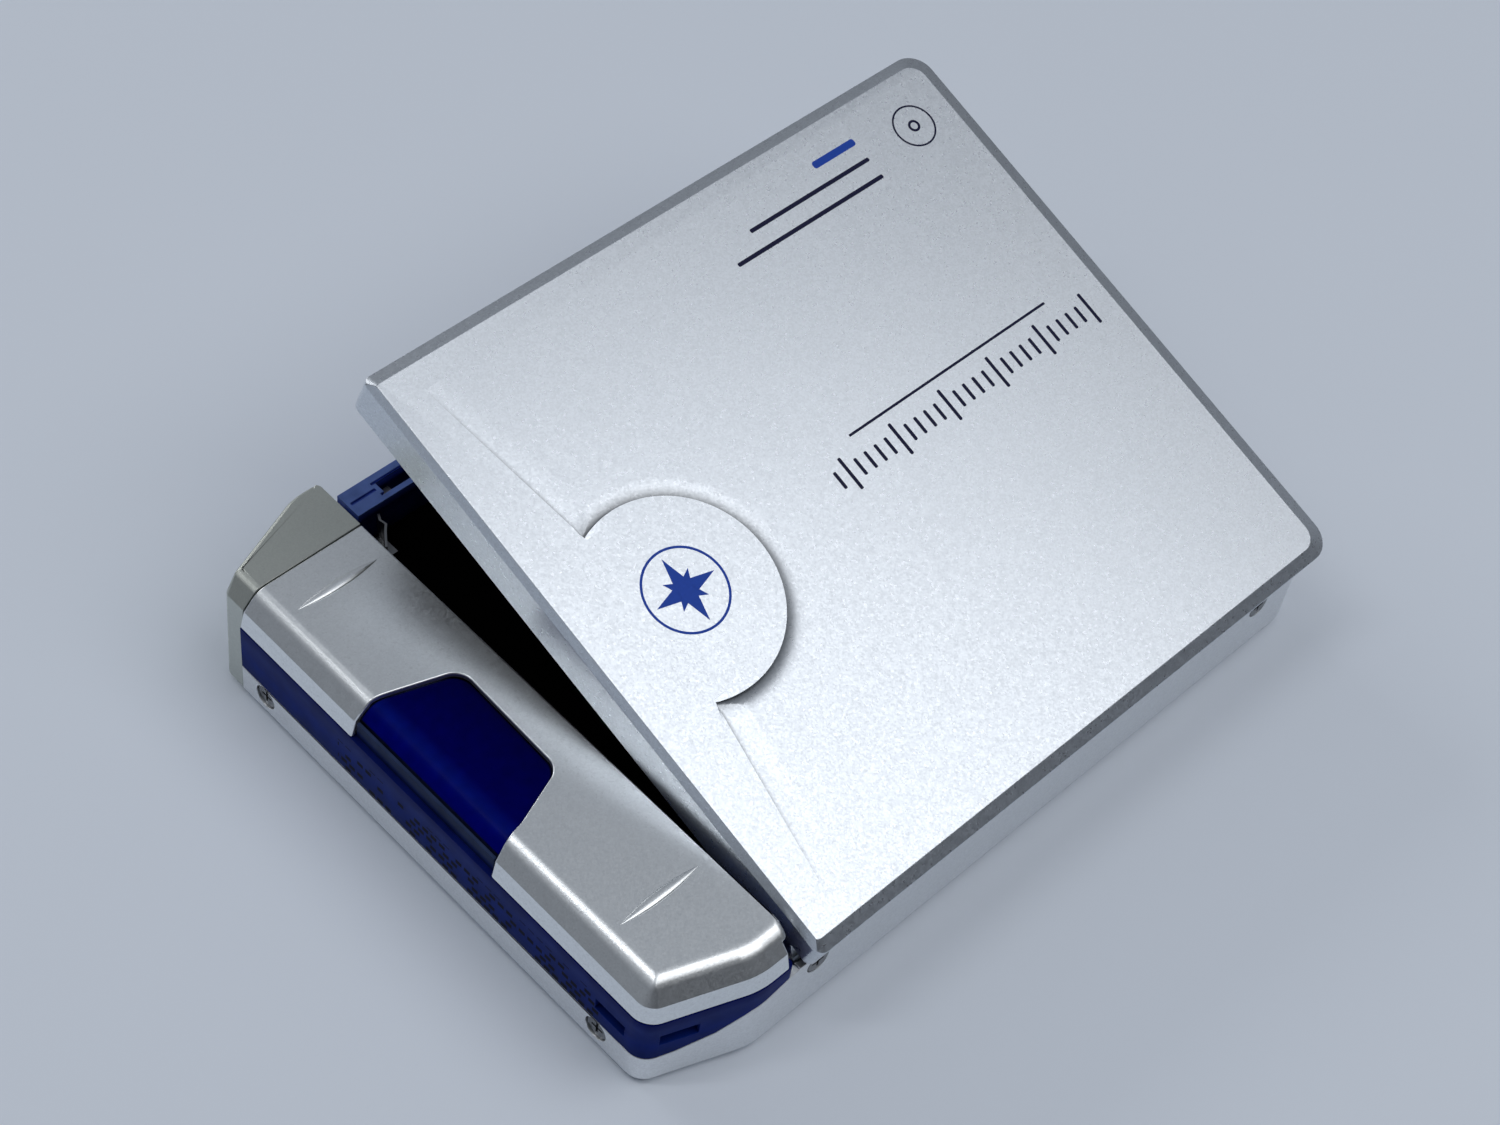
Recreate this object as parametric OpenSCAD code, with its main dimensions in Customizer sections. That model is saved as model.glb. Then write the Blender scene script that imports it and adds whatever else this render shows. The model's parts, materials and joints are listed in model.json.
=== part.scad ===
// Portable minidisc player with a hinged lid, shown with the lid popped open.
// +X runs to the battery section, +Y to the hinge, +Z up; the origin is the centre of the base face.

/* [Case] */
// Overall length of the player along X
case_l = 98.9; // [96:0.1:104]
// Depth of the case along Y, from the front rail to the rear wall
case_d = 74; // [72:0.1:80]
// Height of the closed player
case_h = 16.2; // [16:0.1:18]
// Plan radius of the two left corners
corner_r = 3; // [2:0.1:4.5]
// Wall thickness of the lower case
wall = 1.0; // [0.8:0.1:1.2]
// Floor thickness of the lower case
floor_t = 1.0; // [0.8:0.1:1.2]
// Rounding between the floor and the walls
foot_r = 1.1; // [0.6:0.1:1.6]
// Height of the lower case where the blue frame stands on it
tub_h = 4.9; // [4:0.1:5.5]
// Drop of the rear and left walls' top below the closed lid's top
wall_drop = 5.2; // [4.9:0.1:5.6]

/* [Battery section] */
// Width of the section along X
section_w = 16.35; // [16:0.05:18]
// Length along X of the tapered end faces of the section
taper_l = 11.55; // [8:0.05:14]
// Depth along Y that the taper takes off the corner
taper_d = 4.37; // [2:0.01:6]
// Plan radius of the section's outer corners
section_r = 2.6; // [1.5:0.1:3.2]
// Height of the section's silver cover
cover_h = 4.4; // [4:0.1:5]
// Wall thickness of the cover
cover_t = 0.8; // [0.6:0.05:1]
// Inset of the ridge along the cover's outer edge
ridge_in = 2.2; // [1.4:0.1:3]
// Length of the battery door behind the front rail's face
door_l = 6.8; // [6:0.1:8]
// How far the battery door bulges in front of the rail
door_bulge = 1.05; // [0.5:0.05:2]
// Travel of the battery door as it draws out
door_travel = 9; // [4:0.5:11]
// Length of the battery cell without its button
cell_l = 49.2; // [48:0.1:50.5]

/* [Lid] */
// Gap between the lid and the battery section
lid_gap = 0.97; // [0.5:0.01:1.4]
// Thickness of the lid's top sheet
lid_t = 0.7; // [0.5:0.05:0.8]
// Thickness of the lid's turned-down edges
skirt_t = 0.85; // [0.6:0.05:1]
// Height of the lid's front, left and rear edges
skirt_h = 4.8; // [4:0.1:5]
// Height of the lid's right edge, beside the battery section
side_h = 6.0; // [5.2:0.1:6.2]
// Drop of the bevel round the lid's top
bevel_h = 0.52; // [0.3:0.02:0.8]
// Drop of the steeper bevel along the lid's right edge
side_bevel_h = 1.05; // [0.8:0.05:1.3]
// Opening angle of the lid at rest
lid_open = 18.2; // [0:0.1:30]
// Distance of the hinge axis in front of the rear face
hinge_in = 2.0; // [1.8:0.1:2.4]
// Drop of the hinge axis below the closed lid's top
hinge_drop = 7.42; // [7.2:0.01:7.6]
// Radius of the hinge pins
hinge_pin_r = 0.5; // [0.4:0.05:0.6]
// Radius of the round tab embossed on the lid
tab_r = 11.45; // [8:0.05:14]
// Distance from the lid's right edge to the crease that the tab grows from
tab_in = 8.2; // [6:0.1:10]

/* [Disc drive] */
// Distance from the lid's side to the disc holder
holder_side = 4.09; // [3.9:0.01:4.4]
// Thickness of the cartridge
cartridge_t = 5; // [4.8:0.1:5.1]
// Share of the lid's angle that the disc holder follows
holder_share = 0.8; // [0.6:0.05:0.85]
// Radius of the turntable
turntable_r = 5.5; // [4:0.1:6.5]
// Radius of the spindle motor
motor_r = 8.5; // [7:0.1:8.6]
// Distance of the lens from the spindle at rest
lens_in = 16; // [15.5:0.1:17]
// Tooth module of the sled's gears
gear_m = 0.5; // [0.4:0.05:0.5]
// Teeth of the drive gear's small wheel
small_teeth = 12; // [10:1:12]
// Teeth of the drive gear's large wheel
large_teeth = 22; // [18:1:22]
// Teeth of the motor pinion
pinion_teeth = 10; // [8:1:10]

/* [Front rail] */
// Drop of the front rail's top face below the closed lid's top
rail_drop = 3.25; // [3:0.05:3.8]
// Depth of the front rail along Y
rail_d = 3.7; // [3.4:0.1:3.9]
// Width of a key
key_w = 5.0; // [3.5:0.1:5.8]
// Height of a key
key_h = 2.8; // [2:0.1:3.4]
// Spacing of the keys
key_pitch = 6.6; // [6.2:0.1:7]
// Travel of a key
key_travel = 0.35; // [0.2:0.05:0.4]
// Travel of the open slider
slider_travel = 2.5; // [1.5:0.1:3]
// Travel of the hold switch
hold_travel = 2.2; // [1.5:0.1:2.4]
// Radius of the headphone socket's bore
phone_r = 1.8; // [1.75:0.05:1.85]
// Radius of the power socket's bore
power_r = 1.7; // [1.4:0.05:1.8]

/* [Hidden] */
$fn = 64;
eps = 0.01;
leaf = 0.05;
seam = 0.1;
arc_steps = 8;
run_gap = 0.05;
move_gap = 0.3;

x_l = -case_l / 2;
x_r = case_l / 2;
y_f = -case_d / 2;
y_r = case_d / 2;
sec_x0 = x_r - section_w;
lid_x1 = sec_x0 - lid_gap;
lid_l = lid_x1 - x_l;
wall_h = case_h - wall_drop;
cover_z = case_h - cover_h;
side_bottom = case_h - side_h;
rail_z = case_h - rail_drop;
hinge_z = case_h - hinge_drop;
door_seam = y_r - door_l;
drive_x = x_l + lid_l / 2;
drive_y = 0.9;
hinge_y = y_r - hinge_in;
ear_r = hinge_pin_r + 0.7;

// Levels of the drive, from the floor up
board_z = floor_t + 0.5;
board_t = 0.6;
plate_z = case_h - 8.2;
plate_t = 0.6;
lip_z = plate_z + plate_t + move_gap;
sheet_t = 0.4;
holder_top = lip_z + sheet_t + cartridge_t + 0.2 + sheet_t;
holder_y = y_r - 2.8;
holder_z = lip_z + 0.6;
holder_x0 = x_l + holder_side;
holder_x1 = lid_x1 - holder_side;
holder_front = y_f + rail_d + move_gap;

// Levels of the battery section
part_t = 0.85;
frame_z = tub_h + seam;
frame_top = cover_z - seam;
// The cell fills the section from the floor to the cover
cell_d = min(case_h - cover_t - 1.4, section_w - part_t - wall - 0.5);
cell_x = (sec_x0 + part_t + x_r - wall) / 2;
cell_floor = 0.8;
cell_z = cell_floor + 0.1 + cell_d / 2;
cell_y0 = -door_seam + 0.6;

// Vectors and outlines
function unit(v) = v / norm(v);
// Arc of radius r tangent to both edges of corner p, between its neighbours a and b
function corner_arc(a, p, b, r) =
    r <= 0 ? [p] :
    let (u = unit(a - p), w = unit(b - p), half = acos(u * w) / 2, turn = 180 - 2 * half,
         c = p + unit(u + w) * r / sin(half), s = p + u * r / tan(half) - c, e = p + w * r / tan(half) - c)
    [for (i = [0:arc_steps])
        let (k = i / arc_steps) c + (sin((1 - k) * turn) * s + sin(k * turn) * e) / sin(turn)];
// Polygon with each corner rounded to its own radius
function rounded(pts, radii) =
    [for (i = [0:len(pts) - 1])
        each corner_arc(pts[(i + len(pts) - 1) % len(pts)], pts[i], pts[(i + 1) % len(pts)], radii[i])];
// Slope of the section's end faces, and the far ends of those faces at an inset
taper_m = taper_d / taper_l;
function taper_off(i) = i * sqrt(1 + taper_m * taper_m);
function taper_y(i) = y_r - taper_d + i * taper_m - taper_off(i);
function taper_x(i) = x_r - taper_l - (taper_off(i) - i) / taper_m;
// Plan of the whole case, inset by i
function case_pts(i) = rounded(
    [[x_l + i, y_f + i], [taper_x(i), y_f + i], [x_r - i, -taper_y(i)],
     [x_r - i, taper_y(i)], [taper_x(i), y_r - i], [x_l + i, y_r - i]],
    [corner_r - i, 8, max(section_r - i, 0.4), max(section_r - i, 0.4), 8, corner_r - i]);
// Plan of the battery section from the door seam to the rear, inset by i at its outer faces
function section_pts(i, x0, y0) = rounded(
    [[x0, y0], [x_r - i, y0], [x_r - i, taper_y(i)], [taper_x(i), y_r - i], [x0, y_r - i]],
    [0.6, 0, max(section_r - i, 0.4), 8, 0.8]);
// Plan of the battery door, inset by i at its right face and j at its front and slanted faces
door_front = y_f - door_bulge;
door_out = 0.55;
door_r = 1.4;
function door_slant(i, j) = -taper_y(0) - door_out - i * taper_m + taper_off(j);
function door_pts(i, j) = rounded(
    [[sec_x0, -door_seam - seam], [sec_x0, door_front + j],
     [x_r - i - (door_slant(i, j) - door_front - j) / taper_m, door_front + j],
     [x_r - i, door_slant(i, j)], [x_r - i, -door_seam - seam]],
    [0, 0.9, 6, max(door_r - i, 0.4), 0]);
// Plan of the lid, inset by a at the front and rear right, b at the left corners and c at the right
function lid_pts(a, b, c) = rounded(
    [[x_l + b, y_f + b], [lid_x1 - c, y_f + a], [lid_x1 - c, y_r - a], [x_l + b, y_r - b]],
    [corner_r - b / 2, 1.0, 1.2, corner_r - b / 2]);
// Cut-out in the cover for the window, inset by i
win_in = 4.2;
win_y0 = -8.9;
win_y1 = 6.5;
function window_pts(i) = rounded(
    [[sec_x0 + win_in + i, win_y0 + i], [x_r - 3.4, win_y0 - 2.9 + i], [x_r + 2, win_y0 - 3.0 + i],
     [x_r + 2, win_y1 + 3.9 - i], [x_r - 4.6, win_y1 + 2.6 - i], [sec_x0 + win_in + 0.5 + i, win_y1 - i]],
    [2.2, 5, 0, 0, 5, 2.0]);

module layer(z, pts) {
    translate([0, 0, z]) linear_extrude(leaf) polygon(pts);
}
module slab(z0, z1, pts) {
    translate([0, 0, z0]) linear_extrude(z1 - z0) polygon(pts);
}
module box(lo, hi) {
    translate(lo) cube(hi - lo);
}
module rod_x(x0, x1, y, z, r) {
    translate([x0, y, z]) rotate([0, 90, 0]) cylinder(r = r, h = x1 - x0);
}
module rod_y(x, y0, y1, z, r) {
    translate([x, y0, z]) rotate([-90, 0, 0]) cylinder(r = r, h = y1 - y0);
}
module post(x, y, z0, z1, r) {
    translate([x, y, z0]) cylinder(r = r, h = z1 - z0);
}
// Turns closed lid parts about the hinge axis to the rest angle
module lid_pose() {
    translate([0, hinge_y, hinge_z]) rotate([-lid_open, 0, 0]) translate([0, -hinge_y, -hinge_z]) children();
}
module holder_pose() {
    translate([0, holder_y, holder_z]) rotate([-lid_open * holder_share, 0, 0])
        translate([0, -holder_y, -holder_z]) children();
}

// Lower case
side_screw_y = door_seam - 3.9;
side_screw_z = 3.3;
rear_screw_x = [lid_x1 - 2.8, x_l + 8.4];
rear_screw_z = hinge_z - 0.68;
floor_screws = [[x_l + 5.5, y_f + 5], [lid_x1 - 5, y_f + 5], [x_l + 5.5, y_r - 6], [lid_x1 - 6, y_r - 7]];
screw_head_r = 1.4;
screw_r = 0.7;
damper_spots = [[x_l + 15, y_f + 7], [drive_x + 17.6, y_f + 7],
                [x_l + 11.5, y_r - 6], [lid_x1 - 12.2, y_r - 6]];
damper_post_r = 1.2;
notch_x = lid_x1 - 1.5;
notch_z = hinge_z + 1.02;
phone_x = x_l + 7.5;
phone_z = 5.4;
power_y = y_f + 17;
power_z = 5.4;
hold_y = y_f + 32;
hold_z = 6.5;
hold_l = 5.6;
hold_h = 2.4;
left_ear_x = x_l + 2.05;
ear_t = 0.9;

// Side view of the frame's lower edge as it climbs to the hinge
frame_edge = [[x_r + 1, frame_z], [x_r - 3.5, frame_z + 0.3], [x_r - 7.5, frame_z + 1.3],
              [x_r - 11, frame_z + 3.4], [sec_x0 + 1, notch_z - 0.3], [sec_x0 - 0.9, notch_z]];
module frame_side_cut(drop) {
    translate([0, y_r + 1, 0]) rotate([90, 0, 0]) linear_extrude(12)
        polygon(concat([for (p = frame_edge) [p[0], p[1] - drop]],
                       [[sec_x0 - 0.9, case_h], [x_r + 1, case_h]]));
}

module tub_outer() {
    hull() {
        layer(0, case_pts(foot_r));
        layer(foot_r * 0.3, case_pts(foot_r * 0.3));
        layer(foot_r, case_pts(0));
        layer(wall_h + 1, case_pts(0));
    }
}
module bottom_case() {
    color([0.78, 0.8, 0.82]) difference() {
        union() {
            difference() {
                tub_outer();
                slab(floor_t, case_h, case_pts(wall));
            }
            for (s = damper_spots) post(s[0], s[1], floor_t - eps, plate_z + plate_t + 0.15, damper_post_r);
            for (s = floor_screws) post(s[0], s[1], floor_t - eps, board_z, 2.1);
            for (x = rear_screw_x) rod_y(x, y_r - wall - 0.8, y_r - wall / 2, rear_screw_z, 1.6);
            rod_x(x_l + wall * 0.7, left_ear_x, hinge_y, hinge_z, 1.3);
        }
        // Front and right sides carry the blue frame
        box([x_l - 1, y_f - 1, tub_h], [sec_x0, y_f + rail_d + 0.1, case_h]);
        box([sec_x0 - 0.9, -case_d, tub_h], [x_r + 1, taper_y(0) - 3, case_h]);
        frame_side_cut(seam);
        rod_y(cell_x, -case_d, cell_y0 + cell_l + 1.2, cell_z, cell_d / 2 + 0.1);
        // Battery door opening
        box([sec_x0 - seam, -case_d, -1], [x_r + 1, -door_seam, case_h]);
        // Rear wall's top edge rounded about the hinge axis, and the left and rear walls cut to height
        difference() {
            box([x_l - 1, y_r - 2.5, wall_h - 0.6], [x_r + 1, y_r + 1, case_h]);
            rod_x(x_l - 2, x_r + 2, hinge_y, hinge_z, 3.0);
        }
        box([x_l - 1, y_f - 1, wall_h], [x_r + 1, y_r - 2.4, case_h]);
        box([notch_x, y_r - 4, notch_z], [sec_x0, y_r + 1, case_h]);
        for (x = [left_ear_x, lid_x1 - 0.13 - ear_t])
            rod_x(x - move_gap, x + ear_t + move_gap, hinge_y, hinge_z, ear_r + move_gap);
        rod_x(x_l + wall / 2, left_ear_x, hinge_y, hinge_z, hinge_pin_r);
        // Screw holes
        for (y = [-side_screw_y, side_screw_y]) {
            rod_x(x_r - 0.7, x_r + 1, y, side_screw_z, screw_head_r + 0.1);
            rod_x(x_r - 3, x_r + 1, y, side_screw_z, screw_r);
        }
        for (x = rear_screw_x) {
            rod_y(x, y_r - 0.5, y_r + 1, rear_screw_z, screw_head_r + 0.1);
            rod_y(x, y_r - 1.9, y_r + 1, rear_screw_z, screw_r);
        }
        for (s = floor_screws) {
            post(s[0], s[1], -1, 0.6, screw_head_r + 0.2);
            post(s[0], s[1], -1, board_z + 1, screw_r);
        }
        // Sockets and the hold switch
        rod_y(phone_x, y_f - 1, y_f + 3, phone_z, phone_r + 0.8);
        rod_x(x_l - 1, x_l + 3, power_y, power_z, power_r + 0.9);
        box([x_l - 1, hold_y - hold_travel / 2 - hold_l / 2 - 0.2, hold_z - hold_h / 2 - 0.2],
            [x_l + 0.45, hold_y + hold_travel / 2 + hold_l / 2 + 0.2, hold_z + hold_h / 2 + 0.2]);
        box([x_l - 1, hold_y - hold_travel / 2 - 1.2, hold_z - 0.7],
            [x_l + 2, hold_y + hold_travel / 2 + 1.2, hold_z + 0.7]);
    }
}

// Blue translucent frame: front rail, outer band of the section, partition and bulkhead
rail_wall = 1.1;
rail_inner = y_f + rail_d;
rail_x1 = sec_x0 - 0.35;
bulkhead_y = cell_y0 + cell_l + 1.4;
keys_x0 = drive_x - 18.6;
keys_z = (tub_h + rail_z) / 2;
slider_x = lid_x1 - 9.5;
slider_z = keys_z - 0.7;
slider_w = 7;
slider_h = 3;
hook_x = lid_x1 - 9.8;
hook_w = 2.4;
hook_y = y_f + 1.55;
hook_t = 0.6;
strap_h = 1.7;
strap_z = 7.1;
strap_l = 4.2;
module front_rail() {
    difference() {
        intersection() {
            slab(frame_z, rail_z, case_pts(0));
            box([x_l, y_f - 1, frame_z], [rail_x1, rail_inner, rail_z]);
        }
        // Channel inside the rail, open below
        box([x_l + rail_wall + 1, y_f + rail_wall, frame_z - 1],
            [rail_x1 - 1, rail_inner - 0.8, rail_z - rail_wall]);
        // Both ends step down under the lid's side edges
        box([x_l - 1, y_f - 1, wall_h + 0.1], [x_l + skirt_t + move_gap, rail_inner + 1, rail_z + 1]);
        box([lid_x1 - skirt_t - move_gap, y_f - 1, side_bottom - move_gap], [sec_x0 + 1, rail_inner + 1, rail_z + 1]);
        // Slot for the lid's hook, and the groove along the top face
        box([hook_x - 0.4, hook_y - 0.3, rail_z - 3], [hook_x + hook_w + 1.9, hook_y + hook_t + 0.6, rail_z + 1]);
        box([hook_x + 4.8, y_f + 1.7, rail_z - 0.35], [lid_x1 - 1.6, y_f + 2.1, rail_z + 1]);
        box([x_l + 6, y_f + 0.9, rail_z - 0.35], [hook_x + 4.8, y_f + 1.2, rail_z + 1]);
        box([x_l + 6, y_f + 2.7, rail_z - 0.5], [hook_x + 4.8, y_f + 3.0, rail_z + 1]);
        // Keys, slider and headphone socket
        for (i = [0:5]) box([keys_x0 + i * key_pitch - key_w / 2 - 0.25, y_f - 1, keys_z - key_h / 2 - 0.25],
                            [keys_x0 + i * key_pitch + key_w / 2 + 0.25, y_f + rail_wall + eps, keys_z + key_h / 2 + 0.25]);
        box([slider_x - slider_w / 2 - 0.2, y_f - 1, slider_z - slider_h / 2 - 0.2],
            [slider_x + slider_w / 2 + slider_travel + 0.2, y_f + 0.6, slider_z + slider_h / 2 + 0.2]);
        box([slider_x - 1.5, y_f - 1, slider_z - 0.8],
            [slider_x + 1.5 + slider_travel, y_f + rail_wall + eps, slider_z + 0.8]);
        rod_y(phone_x, y_f - 1, rail_inner + 1, phone_z, phone_r + 0.8);
        box([phone_x - 3.2, y_f + rail_wall, frame_z - 1], [phone_x + 3.2, rail_inner + 1, plate_z]);
    }
}
module section_band() {
    difference() {
        intersection() {
            union() {
                slab(frame_z, frame_top, section_pts(0, sec_x0, -door_seam));
                intersection() {
                    slab(frame_top - 1, cover_z + 2.2, section_pts(0.6, sec_x0, -door_seam));
                    slab(0, case_h, window_pts(0.2));
                    box([x_r - 1, -case_d, 0], [x_r + 1, case_d, case_h]);
                }
            }
            union() {
                box([sec_x0, -case_d, 0], [x_r + 1, taper_y(0) - 3, case_h]);
                frame_side_cut(0);
            }
        }
        slab(0, case_h, section_pts(wall, sec_x0 + part_t, -door_seam - 1));
        // Strap eyelet: one slot in each face of the corner
        box([x_r - 3.5, side_screw_y - 0.4, strap_z], [x_r + 1, side_screw_y - 0.4 + strap_l, strap_z + strap_h]);
        translate([x_r - 1.8, taper_y(0) + 0.6, strap_z + 0.5]) rotate([0, 0, 180 - atan(taper_m)])
            translate([0, -3, 0]) cube([strap_l, 6, strap_h]);
    }
}
module mid_frame() {
    color([0.16, 0.22, 0.55, 0.85]) difference() {
        union() {
            front_rail();
            section_band();
            // Partition between the lid and the battery, and the bulkhead behind the cell
            box([sec_x0, -door_seam, floor_t], [sec_x0 + part_t, y_r - wall - seam, frame_top]);
            box([sec_x0, -door_seam, frame_top - 1], [sec_x0 + part_t, y_r - 3, cover_z + 3.2]);
            box([sec_x0, bulkhead_y, floor_t], [x_r - wall - seam, bulkhead_y + 1, frame_z + 1]);
            box([sec_x0, bulkhead_y, frame_z], [x_r - wall + eps, bulkhead_y + 1, frame_top]);
            box([rail_x1 - 1, rail_inner - 0.8, frame_z], [rail_x1, -door_seam + 1, side_bottom - move_gap]);
            box([rail_x1 - 1, -door_seam, frame_z], [sec_x0 + eps, -door_seam + 1, side_bottom - move_gap]);
            rod_x(sec_x0 - 0.7, sec_x0 + eps, hinge_y, hinge_z, 0.9);
            for (y = [-side_screw_y, side_screw_y])
                box([x_r - wall - 0.7, y - 1.3, side_screw_z - 1.2], [x_r - wall, y + 1.3, frame_z + 0.2]);
        }
        rod_x(sec_x0 - 1, sec_x0 + 1.2, hinge_y, hinge_z, hinge_pin_r);
        for (y = [-side_screw_y, side_screw_y]) rod_x(x_r - 2.2, x_r + 1, y, side_screw_z, screw_r);
        // Lead for the cell's contact
        box([sec_x0 - 1, bulkhead_y - 3, floor_t - eps], [sec_x0 + 1.5, bulkhead_y - 1.6, floor_t + 1.2]);
    }
}

// Silver cover of the battery section
module cover_skin(d) {
    hull() {
        layer(cover_z - d * 0.2, section_pts(d, sec_x0 + d, -door_seam));
        layer(cover_z + 2.3, section_pts(0.55 + d, sec_x0 + d, -door_seam));
        layer(case_h - 0.3 - d, section_pts(ridge_in + d * 0.5, sec_x0 + d, -door_seam));
        layer(case_h - d - leaf, section_pts(ridge_in + 0.6 + d * 0.5, sec_x0 + d + 0.25, -door_seam));
    }
}
module grip_rib(y) {
    half = 5.3;
    rise = 0.45;
    bow = (half * half + rise * rise) / (2 * rise);
    intersection() {
        post(sec_x0 + 7.0, y - bow + rise, case_h - 0.2, case_h + 0.3, bow);
        post(sec_x0 + 7.0, y + bow - rise, case_h - 0.2, case_h + 0.3, bow);
        box([sec_x0, y - 2, 0], [x_r, y + 2, case_h + 1]);
    }
}
module section_cover() {
    color([0.68, 0.71, 0.74]) union() {
        difference() {
            cover_skin(0);
            translate([0, -1, 0]) cover_skin(cover_t);
            translate([0, 0, -cover_t]) slab(0, cover_z + cover_t + 0.4, section_pts(cover_t, sec_x0 - 1, -door_seam - 1));
            box([sec_x0 - 1, -case_d, 0], [sec_x0 + part_t + eps, case_d, cover_z + 3.2 + seam]);
            slab(0, case_h + 1, window_pts(0));
        }
        for (y = [-door_seam + 4.7, y_r - 12.8]) grip_rib(y);
    }
}

// Window over the cell, set into the cover's cut-out
win_drop = 0.45;
module cell_window() {
    color([0.03, 0.03, 0.3, 0.8]) difference() {
        intersection() {
            translate([0, 0, -win_drop]) cover_skin(win_drop * 0.5);
            slab(cover_z + 2.3, case_h, window_pts(0.12));
        }
        translate([0, 0, -win_drop]) cover_skin(win_drop * 0.5 + 0.5);
    }
}

module screw_z(x, y, z0, z1) {
    difference() {
        union() {
            post(x, y, z0, z0 + 0.45, screw_head_r);
            post(x, y, z0, z1, screw_r);
        }
        for (a = [0, 90]) translate([x, y, z0 - eps]) rotate([0, 0, a]) translate([-0.8, -0.15, 0]) cube([1.6, 0.3, 0.3]);
    }
}
module case_screws() {
    color([0.35, 0.35, 0.37]) {
        for (y = [-side_screw_y, side_screw_y])
            translate([x_r - 0.25, y, side_screw_z]) rotate([0, -90, 0]) screw_z(0, 0, 0, 1.75);
        for (x = rear_screw_x)
            translate([x, y_r - 0.05, rear_screw_z]) rotate([90, 0, 0]) screw_z(0, 0, 0, 1.7);
        for (s = floor_screws) screw_z(s[0], s[1], 0.15, board_z + board_t);
    }
}

// Pressed steel chassis that floats on the dampers
lens_x = drive_x + lens_in;
rod_r = 0.75;
rod_z = plate_z - 1.6;
rod_y0 = drive_y - 12;
rod_y1 = drive_y + 12;
rod_x0 = drive_x + motor_r + 0.4;
rod_x1 = sec_x0 - 3.66;
sled_half = 6.2;
sled_travel = rod_x1 - 1.4 - sled_half - lens_x;
axle_x = lens_x + sled_half;
rack_y = rod_y0 - 5.3;
axle_y = rack_y - gear_m * small_teeth / 2;
axle_r = 0.5;
gear_gap = gear_m * (large_teeth + pinion_teeth) / 2;
pinion_a = -50;
pinion_x = axle_x + gear_gap * cos(pinion_a);
pinion_y = axle_y + gear_gap * sin(pinion_a);
plate_x0 = x_l + 2.6;
plate_x1 = sec_x0 - 3;
bracket_t = 0.5;
module chassis_plate() {
    color([0.13, 0.13, 0.14]) difference() {
        union() {
            box([plate_x0, y_f + rail_d + 0.5, plate_z], [plate_x1, y_r - wall - 1.1, plate_z + plate_t]);
            for (x = [holder_x0 - 0.3 - bracket_t, holder_x1 + 0.3])
                box([x, holder_y - 1.0, plate_z], [x + bracket_t, holder_y + 0.9, holder_z + 0.9]);
            for (x = [rod_x0 - bracket_t, rod_x1], y = [rod_y0, rod_y1])
                box([x, y - 1.4, rod_z - 1.3], [x + bracket_t, y + 1.4, plate_z + eps]);
        }
        post(drive_x, drive_y, 0, case_h, 3.2);
        box([lens_x - 4.9, drive_y - 4.6, 0], [lens_x + sled_travel + 4.9, drive_y + 4.6, case_h]);
        for (s = damper_spots) post(s[0], s[1], 0, case_h, 1.8);
        for (y = [rod_y0, rod_y1]) rod_x(rod_x0 - 1, rod_x1 + 1, y, rod_z, rod_r);
        rod_x(x_l, lid_x1, holder_y, holder_z, 0.5);
        post(axle_x, axle_y, 0, case_h, axle_r);
        for (x = [left_ear_x, lid_x1 - 0.13 - ear_t])
            rod_x(x - move_gap, x + ear_t + move_gap, hinge_y, hinge_z, ear_r + move_gap);
    }
}
module chassis_dampers() {
    color([0.05, 0.05, 0.05]) for (s = damper_spots) difference() {
        union() {
            post(s[0], s[1], plate_z - 1.4, plate_z, 2.4);
            post(s[0], s[1], plate_z - 0.5, plate_z + plate_t, 1.8);
        }
        post(s[0], s[1], 0, case_h, damper_post_r);
    }
}

board_top = board_z + board_t;
module main_board() {
    color([0.05, 0.3, 0.15]) difference() {
        box([x_l + 1.7, y_f + 1.6, board_z], [sec_x0 - 1.3, y_r - 1.9, board_top]);
        for (s = damper_spots) post(s[0], s[1], 0, case_h, damper_post_r + 0.4);
        for (s = floor_screws) post(s[0], s[1], 0, case_h, screw_r);
        translate([x_l + 1.7, y_r - 1.9, 0]) rotate([0, 0, 45]) cube([3, 3, 20], center = true);
        translate([x_l + 1.7, y_f + 1.6, 0]) rotate([0, 0, 45]) cube([3, 3, 20], center = true);
    }
}
chips = [[-30, 8, 9, 9, 1.0], [-30, 22, 8, 7, 0.9], [-14, 20, 7, 7, 1.0], [2, 21, 6, 8, 0.9],
         [-28, -12, 7, 7, 0.9], [-13, -20, 5, 4, 0.8], [16, 4, 8, 12, 0.9], [20, -30, 5, 3, 0.8]];
module board_chips() {
    color([0.08, 0.08, 0.09]) for (c = chips)
        box([drive_x + 9 + c[0] - c[2] / 2, c[1] - c[3] / 2, board_top],
            [drive_x + 9 + c[0] + c[2] / 2, c[1] + c[3] / 2, board_top + c[4]]);
}
// Flat cable from the spindle motor down to the board
module motor_flex() {
    y0 = drive_y + 2;
    x0 = drive_x - motor_r;
    color([0.6, 0.35, 0.1]) union() {
        box([x0 - 4, y0, plate_z - 3.4], [x0 - 0.05, y0 + 4, plate_z - 3.25]);
        box([x0 - 4, y0, board_top], [x0 - 3.85, y0 + 4, plate_z - 3.25]);
        box([x0 - 7, y0, board_top], [x0 - 3.85, y0 + 4, board_top + 0.15]);
    }
}
module spindle_motor() {
    color([0.55, 0.55, 0.58]) difference() {
        union() {
            post(drive_x, drive_y, plate_z - 3.4, plate_z - 0.4, motor_r);
            post(drive_x, drive_y, plate_z - 0.4, plate_z, motor_r - 2);
            post(drive_x, drive_y, plate_z - eps, plate_z + 0.5, 2.4);
        }
        post(drive_x, drive_y, plate_z - 2.8, case_h, 0.75 + run_gap);
    }
}
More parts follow.
